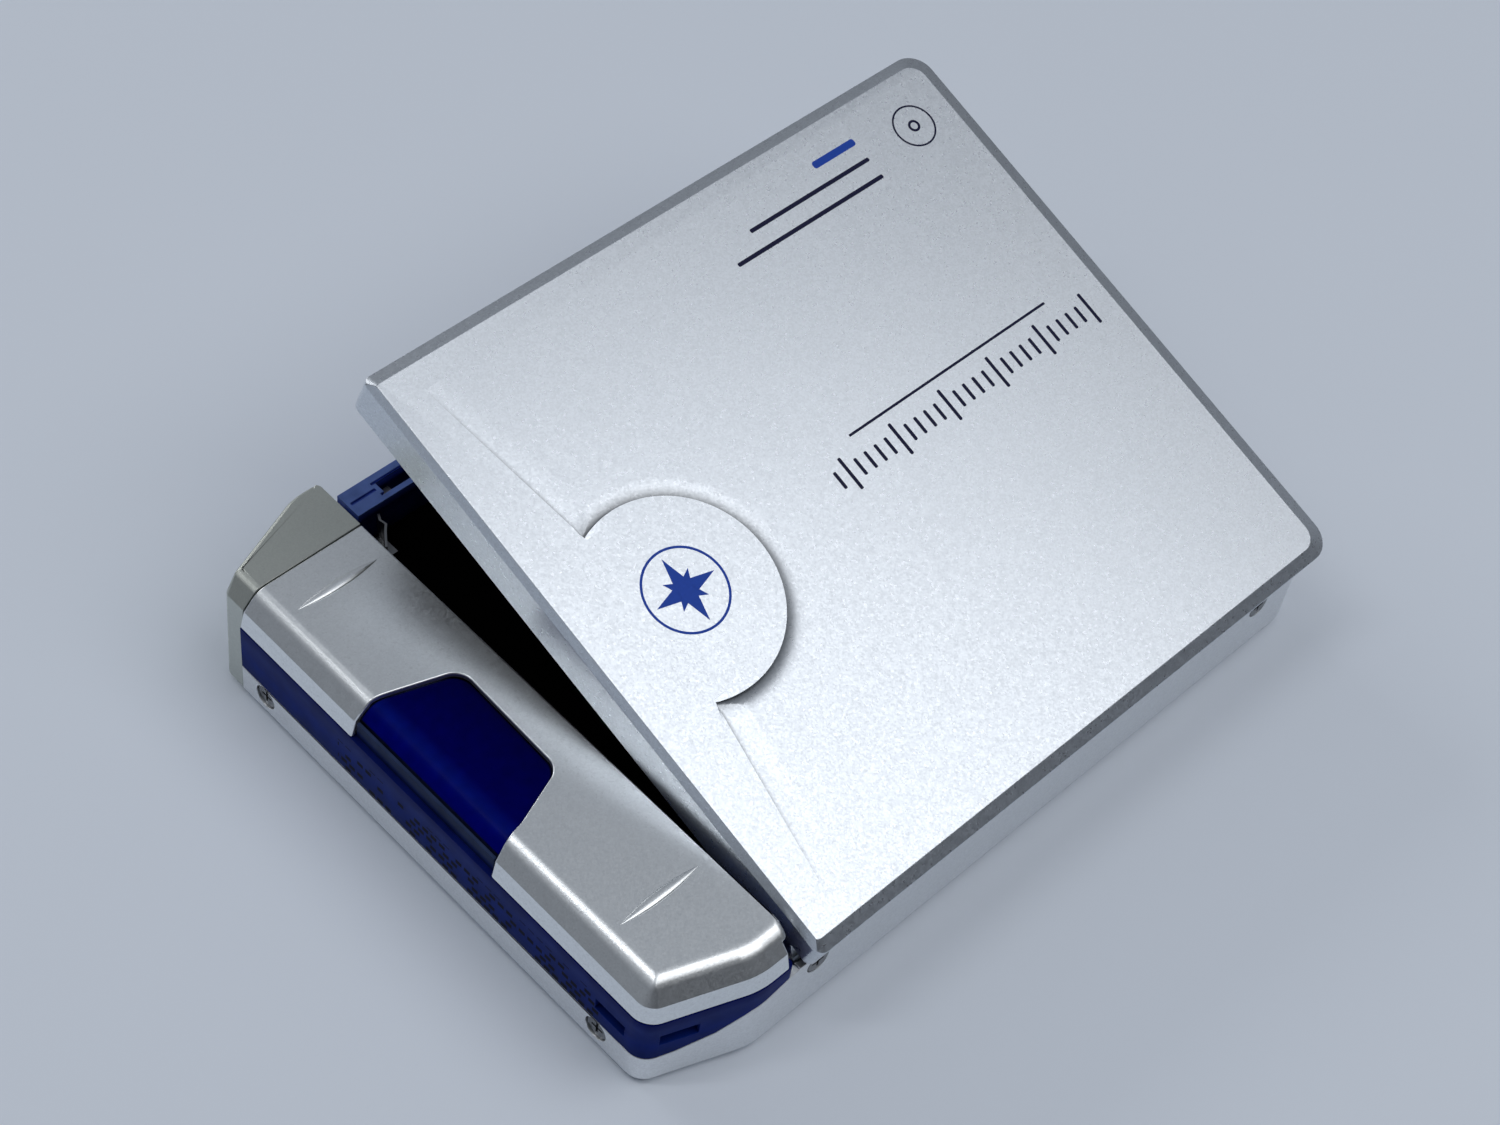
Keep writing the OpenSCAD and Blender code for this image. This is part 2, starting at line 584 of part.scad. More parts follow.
module turntable() {
    color([0.15, 0.15, 0.16]) union() {
        post(drive_x, drive_y, plate_z - 2.6, plate_z + 2.3, 0.75);
        difference() {
            post(drive_x, drive_y, lip_z, lip_z + 1.1, turntable_r);
            post(drive_x, drive_y, lip_z + 0.5, lip_z + 2, turntable_r - 1.2);
        }
        post(drive_x, drive_y, lip_z, lip_z + 1.3, 1.6);
    }
}
module clamp_magnet() {
    color([0.4, 0.4, 0.42]) difference() {
        post(drive_x, drive_y, lip_z + 0.5, lip_z + 1.0, turntable_r - 1.3);
        post(drive_x, drive_y, 0, case_h, 1.7);
    }
}

// Gear outline with its first tooth at angle a0
function gear_pts(teeth, a0) =
    let (r = gear_m * teeth / 2, k = 180 / PI / r)
    [for (i = [0:teeth - 1]) let (a = a0 + i * 360 / teeth)
        each [for (q = [[-1.1, -0.88], [0, -0.66], [0.75, -0.4], [0.75, 0.4], [0, 0.66], [-1.1, 0.88]])
            (r + q[0] * gear_m) * [cos(a + q[1] * gear_m * k), sin(a + q[1] * gear_m * k)]]];
gear_z = plate_z - 3.7;
gear_t = 1.0;
small_z = plate_z - 2.0;
small_t = 1.3;
module drive_gear() {
    color([0.85, 0.85, 0.8]) translate([axle_x, axle_y, 0]) difference() {
        union() {
            slab(gear_z, gear_z + gear_t, gear_pts(large_teeth, pinion_a));
            post(0, 0, gear_z, small_z + small_t, gear_m * (small_teeth / 2 - 1.1));
            slab(small_z, small_z + small_t, gear_pts(small_teeth, 90));
        }
        post(0, 0, 0, case_h, axle_r + run_gap);
    }
}
module gear_axle() {
    color([0.6, 0.6, 0.62]) union() {
        post(axle_x, axle_y, gear_z - 0.6, plate_z + plate_t, axle_r);
        post(axle_x, axle_y, gear_z - 0.6, gear_z - 0.3, axle_r + 0.5);
    }
}
module motor_pinion() {
    color([0.8, 0.7, 0.4]) translate([pinion_x, pinion_y, 0]) union() {
        slab(gear_z, gear_z + gear_t, gear_pts(pinion_teeth, pinion_a + 180 + 180 / pinion_teeth));
        post(0, 0, gear_z, plate_z - 0.6, 0.4);
    }
}
module sled_motor() {
    color([0.6, 0.6, 0.63]) difference() {
        union() {
            post(pinion_x, pinion_y, plate_z - 2.2, plate_z, 4.0);
            post(pinion_x, pinion_y, plate_z - 2.4, plate_z, 1.4);
        }
        post(pinion_x, pinion_y, 0, plate_z - 0.4, 0.4 + run_gap);
    }
}
module guide_rods() {
    color([0.75, 0.75, 0.77]) for (y = [rod_y0, rod_y1]) rod_x(rod_x0 - bracket_t, rod_x1 + bracket_t, y, rod_z, rod_r);
}
rack_x0 = axle_x - sled_travel - 2.2;
rack_x1 = axle_x + 2.2;
rack_p = PI * gear_m;
module pickup_carriage() {
    color([0.2, 0.2, 0.22]) difference() {
        union() {
            box([lens_x - sled_half, rod_y0 - 1.7, plate_z - 3.8], [lens_x + sled_half, rod_y1 + 1.7, plate_z - 0.5]);
            box([lens_x - 4, drive_y - 3.9, plate_z - 0.6], [lens_x + 4, drive_y + 3.9, plate_z + 0.4]);
            box([lens_x - 2, rack_y + 0.4, small_z], [lens_x + 3, rod_y0 - 1.6, small_z + small_t]);
            // Toothed rack facing the small wheel
            translate([0, 0, small_z]) linear_extrude(small_t) polygon(concat(
                [[rack_x1, rack_y + 1.4], [rack_x0, rack_y + 1.4], [rack_x0, rack_y + 0.6]],
                [for (i = [0:round((rack_x1 - rack_x0) / rack_p) - 2])
                    let (x = rack_x0 + 0.4 * rack_p + i * rack_p - rack_shift)
                    each [for (q = [[-0.95, 1.1], [-0.4, -0.75], [0.4, -0.75], [0.95, 1.1]])
                        [x + q[0] * gear_m, rack_y + q[1] * gear_m]]],
                [[rack_x1, rack_y + 0.6]]));
        }
        rod_x(rod_x0 - 2, rod_x1 + 2, rod_y0, rod_z, rod_r + run_gap);
        box([rod_x0 - 2, rod_y1 - rod_r - 0.1, rod_z - rod_r - 0.06], [rod_x1 + 2, rod_y1 + 3, rod_z + rod_r + 0.06]);
        post(lens_x, drive_y, plate_z - 1, case_h, 2.3);
    }
}
// Moves the rack's teeth so that a gap faces the small wheel's tooth
rack_shift = (rack_x0 + 0.4 * rack_p - axle_x) - rack_p * (floor((rack_x0 + 0.4 * rack_p - axle_x) / rack_p) + 0.5);
module objective_lens() {
    color([0.3, 0.35, 0.6, 0.7]) difference() {
        post(lens_x, drive_y, plate_z - 1, plate_z + 0.7, 2.3);
        translate([lens_x, drive_y, plate_z + 0.4]) cylinder(r1 = 1.0, r2 = 1.7, h = 0.5);
    }
}

module holder_pins() {
    color([0.7, 0.7, 0.72]) {
        rod_x(holder_x0 - 0.3 - bracket_t, holder_x0 + sheet_t + 0.2, holder_y, holder_z, 0.5);
        rod_x(holder_x1 - sheet_t - 0.2, holder_x1 + 0.3 + bracket_t, holder_y, holder_z, 0.5);
    }
}
module hinge_pins() {
    color([0.7, 0.7, 0.72]) {
        rod_x(x_l + wall / 2, left_ear_x + ear_t + 0.1, hinge_y, hinge_z, hinge_pin_r);
        rod_x(lid_x1 - 0.13 - ear_t - 0.2, sec_x0 + 1.2, hinge_y, hinge_z, hinge_pin_r);
    }
}

module battery_cell() {
    color([0.2, 0.25, 0.22]) union() {
        rod_y(cell_x, cell_y0, cell_y0 + cell_l, cell_z, cell_d / 2);
        rod_y(cell_x, cell_y0, cell_y0 + cell_l + 1.0, cell_z, 2.7);
    }
}
module cell_contact() {
    color([0.8, 0.75, 0.5]) union() {
        box([cell_x - 3.5, bulkhead_y - 0.3, cell_z - 3.5], [cell_x + 3.5, bulkhead_y, cell_z + 3.5]);
    }
}

dome_y = rail_inner - 0.8;
module key_board() {
    color([0.05, 0.3, 0.15]) union() {
        box([keys_x0 - 4, dome_y - 0.4, frame_z + 0.6], [keys_x0 + 5 * key_pitch + 4, dome_y, rail_z - rail_wall - 0.1]);
        for (i = [0:5]) rod_y(keys_x0 + i * key_pitch, dome_y - 0.65, dome_y - 0.4 + eps, keys_z, 1.3);
    }
}
module front_key(i) {
    x = keys_x0 + i * key_pitch;
    color([0.7, 0.72, 0.75]) union() {
        box([x - key_w / 2, y_f - 0.2, keys_z - key_h / 2], [x + key_w / 2, y_f + rail_wall + 0.1 + eps, keys_z + key_h / 2]);
        box([x - key_w / 2 - 0.5, y_f + rail_wall + 0.1, keys_z - key_h / 2 - 0.5],
            [x + key_w / 2 + 0.5, y_f + rail_wall + 0.4, keys_z + key_h / 2 + 0.5]);
    }
}
module key_play() { front_key(2); }
module key_stop() { front_key(3); }
module key_skip_back() { front_key(1); }
module key_skip_forward() { front_key(4); }
module key_volume_up() { front_key(0); }
module key_volume_down() { front_key(5); }

module headphone_jack() {
    color([0.08, 0.08, 0.09]) difference() {
        union() {
            rod_y(phone_x, y_f + 0.1, y_f + 3, phone_z, phone_r + 0.6);
            box([phone_x - 2.9, y_f + rail_wall + 0.1, board_top], [phone_x + 2.9, y_f + 13, plate_z - 0.3]);
        }
        rod_y(phone_x, y_f - 1, y_f + 12, phone_z, phone_r);
    }
}
module power_jack() {
    color([0.08, 0.08, 0.09]) difference() {
        union() {
            rod_x(x_l + 0.1, x_l + 3, power_y, power_z, power_r + 0.7);
            box([x_l + wall + 0.2, power_y - 3, board_top], [x_l + 9, power_y + 3, plate_z - 0.3]);
        }
        difference() {
            rod_x(x_l - 1, x_l + 7, power_y, power_z, power_r);
            rod_x(x_l + 0.8, x_l + 8, power_y, power_z, 0.45);
        }
    }
}
module hold_switch() {
    color([0.7, 0.72, 0.75]) union() {
        box([x_l + 0.05, hold_y - hold_l / 2, hold_z - hold_h / 2], [x_l + 0.4, hold_y + hold_l / 2, hold_z + hold_h / 2]);
        box([x_l + 0.3, hold_y - 1.0, hold_z - 0.55], [x_l + wall + 0.15, hold_y + 1.0, hold_z + 0.55]);
        box([x_l + wall + 0.1, hold_y - 2.0, hold_z - 1.1], [x_l + wall + 0.7, hold_y + 2.0, hold_z + 1.1]);
        for (k = [-1, 0, 1]) box([x_l, hold_y + k * 0.9 - 0.15, hold_z - 0.9], [x_l + 0.2, hold_y + k * 0.9 + 0.15, hold_z + 0.9]);
    }
}
// Slider on the front rail, with the arm that carries the catch
arm_y0 = y_f + rail_wall + 0.2;
arm_y1 = arm_y0 + 0.7;
module open_slider() {
    color([0.7, 0.72, 0.75]) union() {
        box([slider_x - slider_w / 2, y_f, slider_z - slider_h / 2], [slider_x + slider_w / 2, y_f + 0.45, slider_z + slider_h / 2]);
        for (k = [-1, 0, 1]) box([slider_x + k * 1.2 - 0.2, y_f - 0.2, slider_z - 1.0], [slider_x + k * 1.2 + 0.2, y_f + eps, slider_z + 1.0]);
        box([slider_x - 1.3, y_f + 0.4, slider_z - 0.65], [slider_x + 1.3, arm_y0 + eps, slider_z + 0.65]);
        box([slider_x - 4.5, arm_y0, slider_z - 1.4], [hook_x + hook_w + 1.7, arm_y1, slider_z + 1.2]);
    }
}
module open_catch() {
    nose_x = hook_x + hook_w + 0.2;
    color([0.75, 0.75, 0.77]) union() {
        box([nose_x + 0.5, arm_y0, slider_z + 1.2], [nose_x + 1.5, arm_y1, slider_z + 3.1]);
        box([nose_x, arm_y0, slider_z + 2.3], [nose_x + 0.6, arm_y1, slider_z + 3.1]);
    }
}
// Bent leaf that steadies the side of the disc holder
module holder_side_spring() {
    t = 0.25;
    x = holder_x1;
    path = [[x + 0.35, y_f + rail_d + 0.4], [x + 0.75, y_f + 4.9], [x + 0.6, y_f + 5.7],
            [x + 1.4, y_f + 6.6], [x + 2.6, y_f + 8.2]];
    color([0.8, 0.8, 0.82]) union() {
        slab(plate_z + plate_t, plate_z + plate_t + 3.2,
             concat(path, [for (i = [len(path) - 1:-1:0]) path[i] + [t, -t * 0.5]]));
        box([x + 0.6, y_f + 4.6, plate_z + plate_t], [x + 2.4, y_f + 7.6, plate_z + plate_t + 0.25]);
    }
}

// Lid, drawn closed and then opened to the rest angle
lid_bottom = case_h - skirt_h;
front_bottom = rail_z + move_gap;
tab_x = lid_x1 - tab_in - 4.2;
groove_w = 3.2;
groove_h = 0.45;
// Insets of the bevel's upper edge
edge_in = 1.0;
edge_in_left = 1.9;
edge_in_right = 0.5;
// Side view of a hinge ear, measured from the hinge axis
ear_arm = [[-1.1, -0.3], [-2.5, 3.2], [-2.5, case_h - lid_t - hinge_z], [1.0, case_h - lid_t - hinge_z],
           [1.0, 5.4], [-1.1, 3.4], [0.5, 0.8]];
module hinge_ear(x) {
    translate([x, hinge_y, hinge_z]) rotate([90, 0, 90]) linear_extrude(ear_t) polygon(ear_arm);
    rod_x(x, x + ear_t, hinge_y, hinge_z, ear_r);
}
module lid_shell() {
    difference() {
        union() {
            difference() {
                hull() {
                    layer(lid_bottom, lid_pts(0, 0, 0));
                    layer(case_h - bevel_h, lid_pts(0, 0, 0));
                    layer(case_h - leaf, lid_pts(edge_in, edge_in_left, 0));
                }
                // Steep bevel along the right edge
                rotate([90, 0, 0]) linear_extrude(case_d + 2, center = true) polygon(
                    [[lid_x1 + 0.2 * edge_in_right, case_h - 1.2 * side_bevel_h],
                     [lid_x1 - 1.2 * edge_in_right, case_h + 0.2 * side_bevel_h],
                     [lid_x1 + 1, case_h + 0.2 * side_bevel_h], [lid_x1 + 1, case_h - 1.2 * side_bevel_h]]);
            }
            intersection() {
                slab(side_bottom, lid_bottom + 1, lid_pts(0, 0, 0));
                box([lid_x1 - skirt_t, -case_d, 0], [lid_x1 + 1, case_d, case_h]);
            }
        }
        slab(lid_bottom - 1, case_h - lid_t - bevel_h, lid_pts(skirt_t, skirt_t, skirt_t));
        slab(lid_bottom - 1, case_h - lid_t, lid_pts(1.9, 2.4, 1.4));
        // Front edge stops above the rail, rear edge turns about the hinge
        box([x_l + skirt_t, y_f - 1, 0], [lid_x1 - skirt_t, y_f + corner_r + skirt_t, front_bottom]);
        rod_x(x_l - 1, lid_x1 + 1, hinge_y, hinge_z, 3.3);
        box([x_l - 1, hinge_y, 0], [lid_x1 + 1, y_r + 1, hinge_z + 2.6]);
    }
}
// Shallow valley between the plate and the front band, deepest at the tab and fading to the ends
crease_d = 0.22;
crease_w = 3;
module crease(s) {
    x0 = lid_x1 - tab_in;
    y0 = sqrt(tab_r * tab_r - pow(x0 - tab_x, 2)) - 0.4;
    run = y_r - 4.5 - y0;
    mirror([0, s > 0 ? 1 : 0, 0]) translate([x0, -y0, case_h])
        rotate([0, 0, atan(3.7 / run)]) rotate([90 - atan(crease_d / run), 0, 0])
            linear_extrude(run) polygon([[0, -crease_d], [0, 1], [-crease_w, 1], [-crease_w, 0]]);
}
module lid_plate() {
    color([0.86, 0.88, 0.9]) lid_pose() union() {
        difference() {
            lid_shell();
            // Scooped groove round the tab, cut off where the tab meets the crease
            translate([tab_x, 0, 0]) rotate([0, 0, acos((lid_x1 - tab_in - tab_x) / tab_r)])
                rotate_extrude(angle = 360 - 2 * acos((lid_x1 - tab_in - tab_x) / tab_r)) polygon(
                    [[tab_r, case_h + 1], [tab_r, case_h - groove_h], [tab_r + groove_w * 0.45, case_h - groove_h * 0.4],
                     [tab_r + groove_w, case_h - 0.001], [tab_r + groove_w, case_h + 1]]);
            for (s = [-1, 1]) crease(s);
        }
        difference() {
            union() {
                hinge_ear(left_ear_x);
                hinge_ear(lid_x1 - 0.13 - ear_t);
            }
            rod_x(x_l - 1, lid_x1 + 1, hinge_y, hinge_z, hinge_pin_r + run_gap);
        }
    }
}
liner_t = 0.3;
module lid_liner() {
    z1 = case_h - lid_t;
    color([0.04, 0.04, 0.045]) lid_pose() difference() {
        union() {
            slab(z1 - liner_t, z1 - eps, lid_pts(2.0, 2.5, 1.5));
            difference() {
                slab(lid_bottom + 0.6, z1 - bevel_h - 0.05, lid_pts(skirt_t + 0.05, skirt_t + 0.05, skirt_t + 0.05));
                slab(0, case_h, lid_pts(skirt_t + 0.45, skirt_t + 0.45, skirt_t + 0.45));
            }
            difference() {
                slab(z1 - liner_t - bevel_h, z1 - bevel_h - 0.05, lid_pts(skirt_t + 0.3, skirt_t + 0.3, skirt_t + 0.3));
                slab(0, case_h, lid_pts(2.4, 2.9, 1.9));
            }
            difference() {
                slab(z1 - liner_t - bevel_h, z1 - eps, lid_pts(2.0, 2.5, 1.5));
                slab(0, case_h, lid_pts(2.4, 2.9, 1.9));
            }
        }
        box([x_l, y_f - 1, 0], [lid_x1, y_f + rail_d + 0.5, front_bottom + 0.3]);
        rod_x(x_l - 1, lid_x1 + 1, hinge_y, hinge_z, 3.6);
        for (x = [left_ear_x, lid_x1 - 0.13 - ear_t])
            box([x - 0.1, hinge_y - 2.7, 0], [x + ear_t + 0.1, y_r, case_h]);
        box([hook_x - 0.05, hook_y - 0.05, 0], [hook_x + hook_w + 0.05, hook_y + hook_t + 0.05, case_h]);
    }
}
module lid_hook() {
    color([0.75, 0.75, 0.77]) lid_pose() difference() {
        box([hook_x, hook_y, slider_z + 1.5], [hook_x + hook_w, hook_y + hook_t, case_h - lid_t - bevel_h]);
        box([hook_x + hook_w - 0.7, hook_y - 1, slider_z + 2.1], [hook_x + hook_w + 1, hook_y + 2, slider_z + 3.3]);
    }
}

module disc_holder() {
    y1 = holder_y - 0.7;
    color([0.05, 0.05, 0.055]) holder_pose() difference() {
        union() {
            box([holder_x0, holder_front, holder_top - sheet_t], [holder_x1, y1, holder_top]);
            for (x = [holder_x0, holder_x1 - sheet_t]) {
                box([x, holder_front, lip_z], [x + sheet_t, y1, holder_top]);
                box([x, holder_y - 3, holder_z - 0.9], [x + sheet_t, holder_y, holder_z + 0.9]);
                rod_x(x, x + sheet_t, holder_y, holder_z, 0.9);
            }
            box([holder_x0, holder_front, lip_z], [holder_x0 + sheet_t + 2.2, y1 - 3, lip_z + sheet_t]);
            box([holder_x1 - sheet_t - 2.2, holder_front, lip_z], [holder_x1, y1 - 3, lip_z + sheet_t]);
            for (s = [-1, 1]) translate([drive_x + s * 20, 0, 0]) {
                box([-4, y1 - sheet_t, holder_top - sheet_t], [4, y1 + 0.3, holder_top]);
                box([-4, y1 + 0.3 - sheet_t, holder_top - 1.9], [4, y1 + 0.3, holder_top]);
            }
        }
        rod_x(x_l, lid_x1, holder_y, holder_z, 0.5 + run_gap);
    }
}

// End cap that closes the battery compartment
door_t = 1.0;
tongue = 1.2;
module door_skin(d) {
    hull() {
        layer(0.3 + d, door_pts(0.8 + d, 0.8 + d));
        layer(foot_r + d * 0.5, door_pts(d, d));
        layer(cover_z + 2.3, door_pts(0.55 + d, 0.06 + d));
        layer(case_h - 0.7 - d, door_pts(ridge_in - 0.37 + d * 0.5, 0.12 + d));
        layer(case_h - 0.3 - d, door_pts(ridge_in + d * 0.5, 0.25 + d));
        layer(case_h - d - leaf, door_pts(ridge_in + 0.6 + d * 0.5, 0.6 + d));
    }
}
module battery_door() {
    y_in = -door_seam - seam;
    color([0.5, 0.5, 0.47]) union() {
        difference() {
            door_skin(0);
            difference() {
                translate([0, 0, 0]) door_skin(door_t);
                box([0, -case_d, 0], [sec_x0 + door_t, case_d, case_h]);
            }
            box([sec_x0 + door_t, y_in - 1.2, 1.5], [x_r - 2.9, y_in + 1, case_h - door_t]);
        }
        // Guide tongues in the corners round the cell
        for (x = [sec_x0 + part_t + 0.25, x_r - wall - 2.3]) {
            box([x, y_in - 1.5, floor_t + 0.3], [x + tongue, y_in + door_travel + 1.5, floor_t + 0.3 + tongue]);
            box([x - eps, y_in - 2.2, 0.8], [x + tongue, y_in - 1.0, floor_t + 0.3 + tongue]);
        }
    }
}
module door_contact() {
    y_in = -door_seam - seam;
    color([0.8, 0.75, 0.5]) union() {
        box([sec_x0 + door_t, y_in - 1.1, cell_z - 2], [x_r - 4.5, y_in - 0.85, cell_z + 2]);
        translate([cell_x, 0, 0]) box([-1.5, y_in - 0.9, cell_z - 1.5], [1.5, cell_y0 - 0.3, cell_z + 1.5]);
    }
}

bottom_case();
mid_frame();
section_cover();
cell_window();
case_screws();
chassis_plate();
chassis_dampers();
main_board();
board_chips();
motor_flex();
spindle_motor();
sled_motor();
guide_rods();
gear_axle();
holder_pins();
hinge_pins();
battery_cell();
cell_contact();
key_board();
headphone_jack();
power_jack();
holder_side_spring();
lid_plate();
lid_liner();
lid_hook();
disc_holder();
battery_door();
door_contact();
open_slider();
open_catch();
hold_switch();
key_play();
key_stop();
key_skip_back();
key_skip_forward();
key_volume_up();
key_volume_down();
turntable();
clamp_magnet();
pickup_carriage();
objective_lens();
drive_gear();
motor_pinion();
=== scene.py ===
"""Looks of a portable minidisc player with its lid popped open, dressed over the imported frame."""

import json
import logging
import math
from dataclasses import dataclass
from enum import Enum
from functools import cache, partialmethod
from typing import Callable, Sequence

import bmesh
import bpy
from mathutils import Matrix, Vector


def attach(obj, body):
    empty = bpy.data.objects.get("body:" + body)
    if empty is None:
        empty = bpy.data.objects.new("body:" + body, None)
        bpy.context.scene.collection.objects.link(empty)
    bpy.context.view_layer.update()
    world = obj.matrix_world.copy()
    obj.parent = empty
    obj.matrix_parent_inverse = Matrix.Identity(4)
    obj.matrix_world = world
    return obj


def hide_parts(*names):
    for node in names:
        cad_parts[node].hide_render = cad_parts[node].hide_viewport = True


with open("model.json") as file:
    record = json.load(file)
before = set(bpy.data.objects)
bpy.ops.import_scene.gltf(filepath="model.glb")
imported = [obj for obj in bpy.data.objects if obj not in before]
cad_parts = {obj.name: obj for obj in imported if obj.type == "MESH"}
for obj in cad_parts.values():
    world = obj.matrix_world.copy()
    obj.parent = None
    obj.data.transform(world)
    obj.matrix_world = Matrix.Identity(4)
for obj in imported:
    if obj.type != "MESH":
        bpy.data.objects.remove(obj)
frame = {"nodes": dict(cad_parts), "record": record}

LOG = logging.getLogger("player")
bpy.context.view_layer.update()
MM = 0.001
Pair = tuple[float, float]
Point = tuple[float, float, float]
Object = bpy.types.Object
Socket = bpy.types.NodeSocket
Tree = bpy.types.NodeTree

# Sizes that several pieces share, in millimetres
CASE_TOP = 16.2
LEFT, RIGHT = -49.45, 49.45
FRONT, REAR = -37.0, 37.0
SECTION_LEFT = 33.10
LID_RIGHT = 32.13
COVER_Z = 11.8
RIDGE_Z = COVER_Z + 2.3
RIDGE_IN, TOP_IN = 0.55, 2.475
DOOR_SEAM = -30.2
HINGE = (0.0, 35.0, 8.78)
LID_TURN = math.radians(18.2)
SLANT_DEEP, SLANT_WIDE = 4.37, 11.55
TAPER = SLANT_DEEP / SLANT_WIDE
STRETCH = math.sqrt(1 + TAPER * TAPER)
TAB_X, TAB_RADIUS = 19.73, 11.45
TAB_LINE = LID_RIGHT - 8.2
CREASE_END, CREASE_SLIP = 32.5, 3.7
# How far the cutters reach past the part, and how near two places count as one
FAR_X, FAR_Y = 60, 50
NEAR, MERGE = 1e-3, 0.02
# Turns of a face over which an edge is rounded, shaded smooth or melted away
SHARP, SMOOTH, FLAT = math.radians(32), math.radians(25), math.radians(0.4)


class Axis(Enum):
    """Axis of the part, by its place among the three."""

    X = 0
    Y = 1
    Z = 2


class Element(Enum):
    """Kind of mesh element that a test picks in edit mode."""

    VERTEX = "VERT"
    EDGE = "EDGE"


class Cut(Enum):
    """How a boolean joins two solids."""

    AWAY = "DIFFERENCE"
    COMMON = "INTERSECT"
    TOGETHER = "UNION"


@dataclass(frozen=True)
class Corner:
    """Corner of a plan outline, rounded to its own radius, in millimetres."""

    x: float
    y: float
    r: float = 0.0


def leave() -> None:
    """Leaves edit mode."""
    if bpy.context.object and bpy.context.object.mode != "OBJECT":
        bpy.ops.object.mode_set(mode="OBJECT")


def clear() -> None:
    """Leaves edit mode and deselects everything."""
    leave()
    bpy.ops.object.select_all(action="DESELECT")


def take(obj: Object) -> None:
    """Selects one object and makes it the active one."""
    clear()
    obj.hide_set(False)
    obj.select_set(True)
    bpy.context.view_layer.objects.active = obj


def select() -> None:
    """Selects everything in edit mode."""
    bpy.ops.mesh.select_all(action="SELECT")


def edit(obj: Object) -> None:
    """Opens one object in edit mode with everything selected."""
    take(obj)
    bpy.ops.object.mode_set(mode="EDIT")
    select()


def close() -> None:
    """Turns every normal outwards and leaves edit mode."""
    select()
    bpy.ops.mesh.normals_make_consistent(inside=False)
    leave()


def pick(obj: Object, test: Callable[..., bool], kind: Element = Element.VERTEX) -> int:
    """Selects the elements of the edited mesh that pass a test, and nothing else.

    Args:
        obj: The object in edit mode.
        test: Takes a vertex or edge and says whether it is wanted.
        kind: Which of them it takes.

    Returns:
        How many were selected.
    """
    bpy.ops.mesh.select_mode(type=kind.value)
    bpy.ops.mesh.select_all(action="DESELECT")
    mesh = bmesh.from_edit_mesh(obj.data)
    wanted = [e for e in (mesh.edges if kind is Element.EDGE else mesh.verts) if test(e)]
    for element in wanted:
        element.select_set(True)
    mesh.select_flush(True)
    bmesh.update_edit_mesh(obj.data)
    return len(wanted)


def move(x: float, y: float, z: float) -> None:
    """Moves what is selected in edit mode."""
    bpy.ops.transform.translate(value=(x, y, z))


def scale(x: float, y: float, z: float, centre: Point = (0.0, 0.0, 0.0)) -> None:
    """Scales what is selected in edit mode about a centre."""
    bpy.ops.transform.resize(value=(x, y, z), center_override=centre)


def bevel(width: float, segments: int, affect: str) -> None:
    """Rounds the edges or vertices that are selected in edit mode."""
    bpy.ops.mesh.bevel(
        offset=width, segments=segments, profile=0.5, affect=affect, clamp_overlap=False
    )


def outline(name: str, places: Sequence[Point]) -> Object:
    """Adds a disc with one vertex for each place, and moves each vertex to its own.

    Args:
        name: Name of the new object.
        places: Where the vertices go, in order.

    Returns:
        The flat outline, still in edit mode.
    """
    clear()
    bpy.ops.mesh.primitive_circle_add(vertices=len(places), radius=1, fill_type="NGON")
    obj = bpy.context.active_object
    obj.name = name
    spots = [v.co.copy() for v in obj.data.vertices]
    bpy.ops.object.mode_set(mode="EDIT")
    for index, (spot, place) in enumerate(zip(spots, places)):
        pick(obj, lambda v: v.index == index)
        move(*(b - a for a, b in zip(spot, place)))
    return obj


def stack(name: str, levels: Sequence[tuple[float, Sequence[Corner]]], steps: int = 8) -> Object:
    """Draws a rounded outline and extrudes it from level to level.

    Each corner is bevelled to its radius, and at each next level it is scaled and moved.

    Args:
        name: Name of the new object.
        levels: Heights and outlines from the bottom up, with the same corners at each.
        steps: Straight pieces in each rounded corner.

    Returns:
        The solid, with its normals outwards.
    """
    z, corners = levels[0]
    obj = outline(name, [(c.x, c.y, z) for c in corners])
    for before, corner, after in zip((corners[-1], *corners), corners, (*corners[1:], corners[0])):
        if corner.r > 0:
            tip = Vector((corner.x, corner.y))
            sides = [Vector((c.x, c.y)) - tip for c in (before, after)]
            reach = corner.r / math.tan(sides[0].angle(sides[1]) / 2)
            pick(obj, lambda v: (v.co.xy - tip).length < NEAR)
            bevel(reach, steps, "VERTICES")
    for (low, old), (high, new) in zip(levels, levels[1:]):
        pick(obj, lambda v: abs(v.co.z - low) < NEAR)
        bpy.ops.mesh.extrude_region_move(TRANSFORM_OT_translate={"value": (0, 0, high - low)})
        tips = [Vector((c.x, c.y)) for c in old]
        groups: list[set[int]] = [set() for _ in tips]
        for v in bmesh.from_edit_mesh(obj.data).verts:
            if abs(v.co.z - high) < NEAR:
                nearest = min(range(len(tips)), key=lambda k: (v.co.xy - tips[k]).length)
                groups[nearest].add(v.index)
        for a, b, group in zip(old, new, groups):
            if a == b:
                continue
            pick(obj, lambda v: v.index in group)
            if a.r > 0 and abs(a.r - b.r) > NEAR * NEAR:
                scale(b.r / a.r, b.r / a.r, 1, (a.x, a.y, high))
            move(b.x - a.x, b.y - a.y, 0)
    close()
    return obj


def prism(name: str, plan: Sequence[Corner], low: float, high: float, steps: int = 8) -> Object:
    """Raises one outline straight up from one height to another."""
    return stack(name, [(low, plan), (high, plan)], steps)


def set_down(obj: Object, name: str = "") -> Object:
    """Puts the active object's place and turn into its mesh, and names it if asked."""
    obj.name = name or obj.name
    bpy.ops.object.transform_apply(location=True, rotation=True, scale=True)
    return obj


